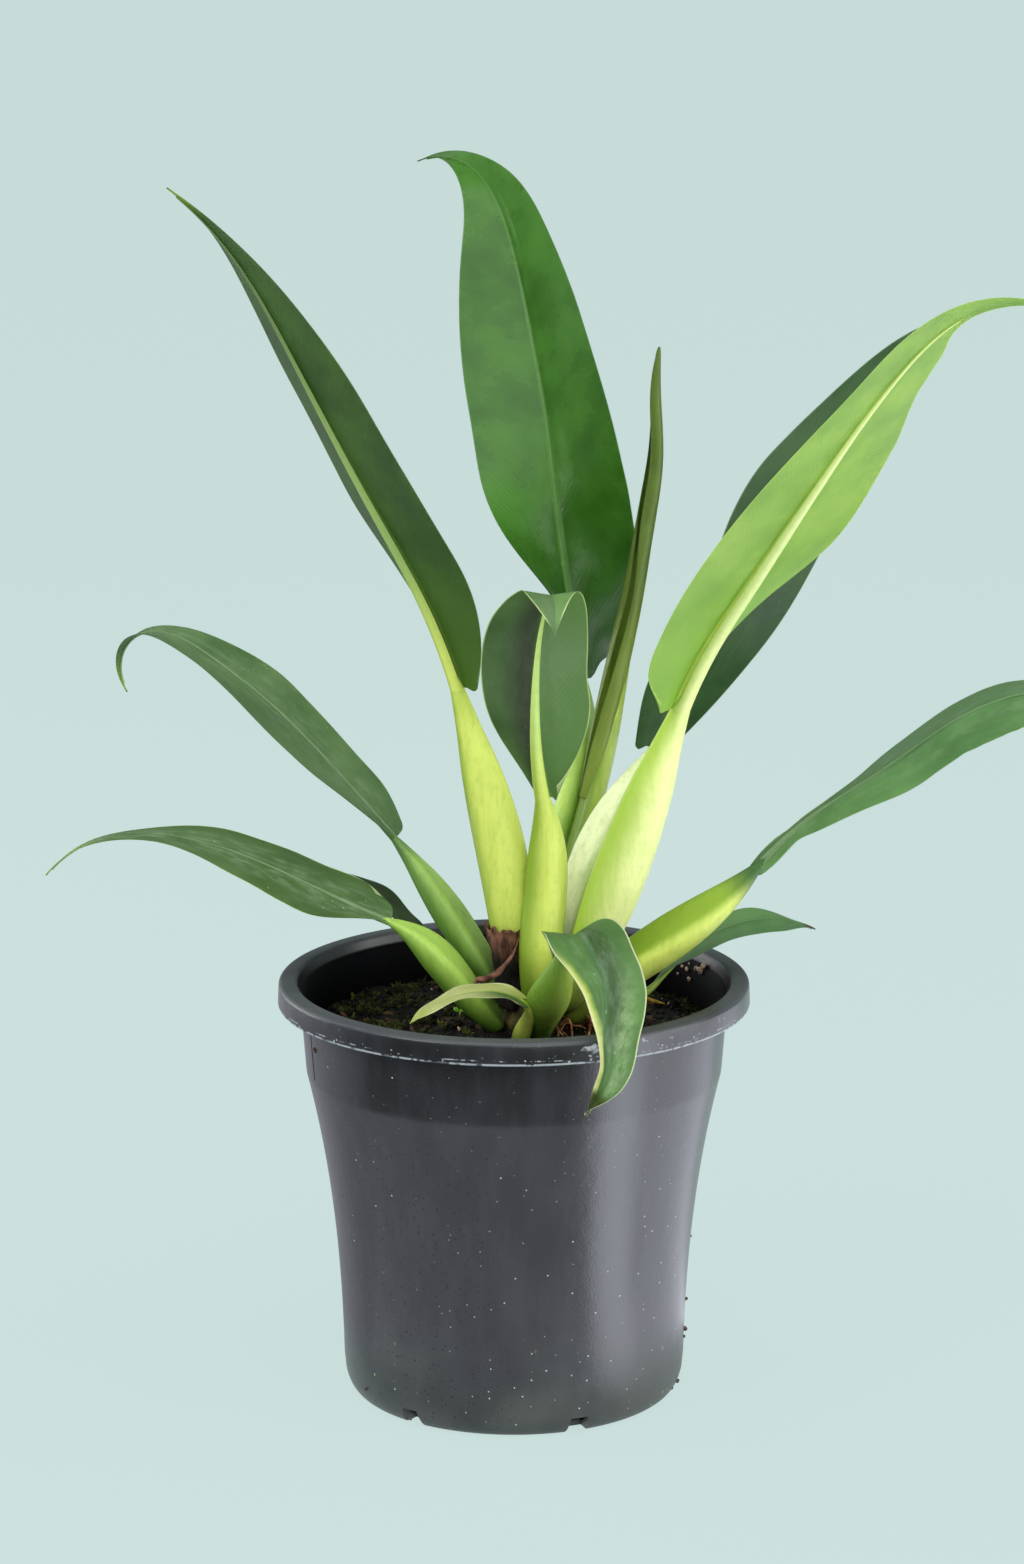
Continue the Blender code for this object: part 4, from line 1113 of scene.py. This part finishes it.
def midrib_look(name, leaf, rib, dim):
    """Stalk colour at the neck, fading to the midrib's own, dimmed at its tip, with painted shade.
    """
    look = Look(f"{name}_midrib_skin", specular=0.4)
    length, side, height = look.attributes("along", "side", "height")
    fibres = look.cloud(0.003, 3.0)
    # Painted shade at the neck of some stalks, as on the stalk itself.
    near, deep = (look.blend(colour, NECK_SHADE_GREEN, leaf.get("neck_shade", 0.0))
                  for colour in leaf["stalk"][1:])
    look.colour = look.blend(near, rib, length.rises(0.0, 0.3))
    look.cover(dim, length.rises(0.3, 0.85))
    look.cover(deep, fibres.rises(0.4, 0.8) * 0.15)
    # Painted shade on the side turned from the light, near the neck.
    across, up, start, full = leaf.get("shade", PLAIN_SHADE)
    painted_shade_side = (side * across + height * up).rises(start, full)
    look.cover(deep, painted_shade_side * length.falls(0.0, 0.5) * 0.7)
    return look.wear(0.36 + fibres * 0.12, look.bump(fibres, 0.0002))


def shades(*colours):
    return [paint(*colour) for colour in colours]


DARK = shades((66, 98, 44), (88, 122, 56), (74, 102, 42), (96, 128, 54))
DEEP = shades((54, 86, 48), (72, 106, 60), (58, 88, 48), (76, 106, 58))
MID = shades((62, 110, 34), (84, 138, 48), (90, 136, 62), (110, 152, 74))
DUSTY = shades((84, 116, 66), (110, 140, 88), (84, 112, 52), (108, 138, 70))
SILKY = shades((92, 134, 76), (124, 166, 102), (92, 130, 70), (118, 154, 92))
BRIGHT = shades((150, 186, 84), (176, 206, 104), (190, 212, 120), (210, 226, 146))
YOUNG = shades((88, 112, 36), (116, 140, 56), (102, 126, 44), (128, 150, 66))
PIED = shades((84, 122, 62), (110, 150, 84), (86, 122, 62), (112, 148, 84))
HAZY = shades((86, 118, 62), (108, 140, 82), (84, 112, 52), (108, 138, 70))
CREAM = shades((186, 194, 106), (222, 224, 156), (186, 200, 106), (214, 220, 144))
SHADED = shades((46, 62, 18), (68, 92, 34), (46, 62, 18), (68, 92, 34))
YELLOW_TIP = paint(158, 184, 66)
BROWN_TIP = paint(96, 72, 40)
BLADES = {
    "over_rim": dict(
        slot="variegated_blade", faces=PIED, rib=paint(92, 132, 86), margin=paint(232, 236, 196),
        gloss=0.28, dust=0.6, film=0.35, cream=paint(230, 228, 156),
        core=(paint(58, 84, 48), -1, 0.7), streak=(paint(178, 204, 148), 34, 96),
        tip=paint(70, 84, 18), tip_start=10, tip_reach=14, margin_width=0.9),
    "folded_front": dict(
        slot="grey_green_blade", faces=DUSTY, rib=paint(206, 226, 128), rib_fade=(26, 40),
        margin=paint(222, 232, 168), gloss=0.36, dust=0.15, left=paint(118, 154, 88),
        core=(paint(78, 78, 66), 1, 0.8)),
    "bright_right": dict(
        slot="lime_blade", faces=BRIGHT, rib=paint(240, 248, 160), rib_fade=(48, 60),
        margin=paint(206, 230, 116), gloss=0.38, wrinkled=1.5, veined=0.04,
        base=paint(160, 200, 78)),
    "tall_left": dict(
        slot="dark_blade", faces=DARK, rib=paint(150, 176, 96), rib_fade=(50, 190),
        rib_dim=paint(104, 124, 74), margin=paint(150, 174, 120), gloss=0.4, tip=YELLOW_TIP,
        base=paint(96, 134, 50)),
    "low_left": dict(
        slot="grey_green_blade", faces=HAZY, rib=paint(150, 178, 132),
        margin=paint(206, 222, 166), gloss=0.4, dust=1.0, film=0.35, tip=YELLOW_TIP, tip_reach=30),
    "right_mid": dict(
        slot="grey_green_blade", faces=SILKY, rib=paint(150, 176, 130),
        margin=paint(140, 174, 118), gloss=0.36, dust=0.3, left=paint(98, 132, 82), wrinkled=2.0),
    "pale_front": dict(
        slot="lime_blade", faces=CREAM, rib=paint(168, 188, 92), margin=paint(240, 240, 196),
        gloss=0.4, left=paint(104, 134, 74), left_span=(10, 30)),
    "dark_right": dict(
        slot="dark_blade", faces=DEEP, rib=paint(100, 134, 90), margin=paint(120, 150, 110),
        gloss=0.36, dust=0.1),
    "mid_left": dict(
        slot="grey_green_blade", faces=DUSTY, rib=paint(140, 168, 126),
        margin=paint(120, 150, 100), gloss=0.36, dust=0.3, tip=YELLOW_TIP),
    "young_roll": dict(
        slot="young_blade", faces=YOUNG, rib=paint(120, 144, 60), margin=paint(96, 116, 52),
        gloss=0.35, base=paint(168, 186, 88)),
    # The tall centre blade's deep base colour is painted shade towards its foot.
    "tall_centre": dict(
        slot="mid_blade", faces=MID, rib=paint(112, 158, 84), margin=paint(96, 140, 70),
        gloss=0.22, base=paint(34, 74, 18), spots=0.4),
    "right_low": dict(
        slot="dark_blade", faces=SILKY, rib=paint(120, 150, 90), margin=paint(124, 154, 94),
        gloss=0.36, tip=BROWN_TIP, tip_reach=8),
    "back_left": dict(
        slot="dark_blade", faces=SHADED, rib=paint(60, 96, 44), margin=paint(96, 126, 70),
        gloss=0.42),
}
for name, finish in BLADES.items():
    leaf, slot, rib = LEAVES[name], finish.pop("slot"), finish["rib"]
    rib_dim = finish.pop("rib_dim", rib)
    add_piece(f"{name}_leaf", blade_mesh(leaf), blade_look(name, **finish), slot, f"{name}_blade")
    add_piece(f"{name}_midrib", midrib_mesh(leaf), midrib_look(name, leaf, rib, rib_dim),
              leaf["stalk"][0], sharp=STALK_CREASE)

# The studio: a pale floor that glows softly, so that the ground stays plain, cards on the table
# that the pot and the leaves reflect, and five large soft boxes.
FLOOR_COLOUR = paint(201, 221, 219)
FLOOR_GLOW = 0.94           # share of the floor's light that is its own
CARD_COLOUR = (0.92, 0.95, 1.06, 1.0)
AIM = 0.25                  # height in metres at which the soft boxes point


def add_sheet(name, bm, colour, strength, glow):
    """A glowing sheet; the rest of its light is what its matt surface gives back."""
    material = bpy.data.materials.new(name)
    material.use_nodes = True
    nodes, links = material.node_tree.nodes, material.node_tree.links
    nodes.clear()
    matt, own = nodes.new("ShaderNodeBsdfDiffuse"), nodes.new("ShaderNodeEmission")
    own.inputs["Strength"].default_value = strength
    share = nodes.new("ShaderNodeMixShader")
    share.inputs[0].default_value = glow
    for number, source in enumerate((matt, own), 1):
        source.inputs["Color"].default_value = colour
        links.new(source.outputs[0], share.inputs[number])
    links.new(share.outputs[0], nodes.new("ShaderNodeOutputMaterial").inputs["Surface"])
    sheet = add_object(name, mesh_of(name, bm))
    sheet.data.materials.append(material)
    return sheet


def add_floor():
    bm = bmesh.new()
    bmesh.ops.create_circle(bm, cap_ends=True, segments=64, radius=60.0)
    floor = add_sheet("floor", bm, FLOOR_COLOUR, 1.0, FLOOR_GLOW)
    floor.location.z = -0.0002


def add_card(name, inner, outer, start, end, strength):
    """A card lying on the table, seen only in reflections: a ring's sector of even brightness."""
    bm = bmesh.new()
    bmesh.ops.create_grid(bm, x_segments=4, y_segments=48, size=1.0)
    for vert in bm.verts:
        radius = inner + (outer - inner) * (vert.co.x + 1) / 2
        vert.co = around(start + (end - start) * (vert.co.y + 1) / 2, radius, 0.0001)
    card = add_sheet(name, bm, CARD_COLOUR, strength, 1.0)
    card.visible_camera = card.visible_diffuse = card.visible_shadow = False


def add_light(name, heading, distance, height, size, power):
    """A rectangular soft box that faces the plant."""
    light = bpy.data.lights.new(name, "AREA")
    light.shape = "RECTANGLE"
    light.size, light.size_y = size
    light.energy = power
    lamp = add_object(name, light)
    lamp.location = around(heading, distance, height)
    toward = Vector((0, 0, AIM)) - lamp.location
    lamp.rotation_euler = toward.to_track_quat("-Z", "Y").to_euler()


def add_camera():
    camera = bpy.data.cameras.new("camera")
    camera.sensor_fit = "VERTICAL"
    camera.sensor_height = 36
    camera.lens = 108.55
    camera.clip_end = 100
    eye = add_object("camera", camera)
    eye.location = (0, -1.92819, 0.71111)
    eye.rotation_euler = (math.radians(90 - 13.026), 0, math.radians(0.0243))
    bpy.context.scene.camera = eye


add_floor()
add_card("dark_card", 0.42, 6.0, 186, 313, 0.02)
add_card("grey_card", 0.29, 0.42, 186, 313, 0.3)
add_card("white_card", 0.12, 0.29, 186, 313, 0.95)
add_card("bright_card", 0.12, 3.0, 313, 337, 4.8)
add_card("pale_card", 0.12, 3.0, 337, 362, 2.3)
add_card("edge_card", 0.12, 3.0, 362, 400, 2.0)
add_card("side_card", 0.12, 3.0, 110, 186, 0.6)
add_light("above", -70, 0.9, 2.2, (2.4, 2.4), 42)
add_light("right_box", -15, 1.6, 0.5, (1.2, 1.8), 18)
add_light("left_box", 150, 1.5, 0.6, (1.0, 1.6), 14)
add_light("front_left", -140, 2.0, 1.4, (1.0, 1.0), 20)
add_light("front", -75, 2.4, 0.9, (1.4, 1.4), 14)
world = bpy.data.worlds.new("studio")
world.use_nodes = True
world.node_tree.nodes["Background"].inputs["Color"].default_value = FLOOR_COLOUR
world.node_tree.nodes["Background"].inputs["Strength"].default_value = 0.7
bpy.context.scene.world = world
bpy.context.scene.view_settings.view_transform = "Standard"
add_camera()
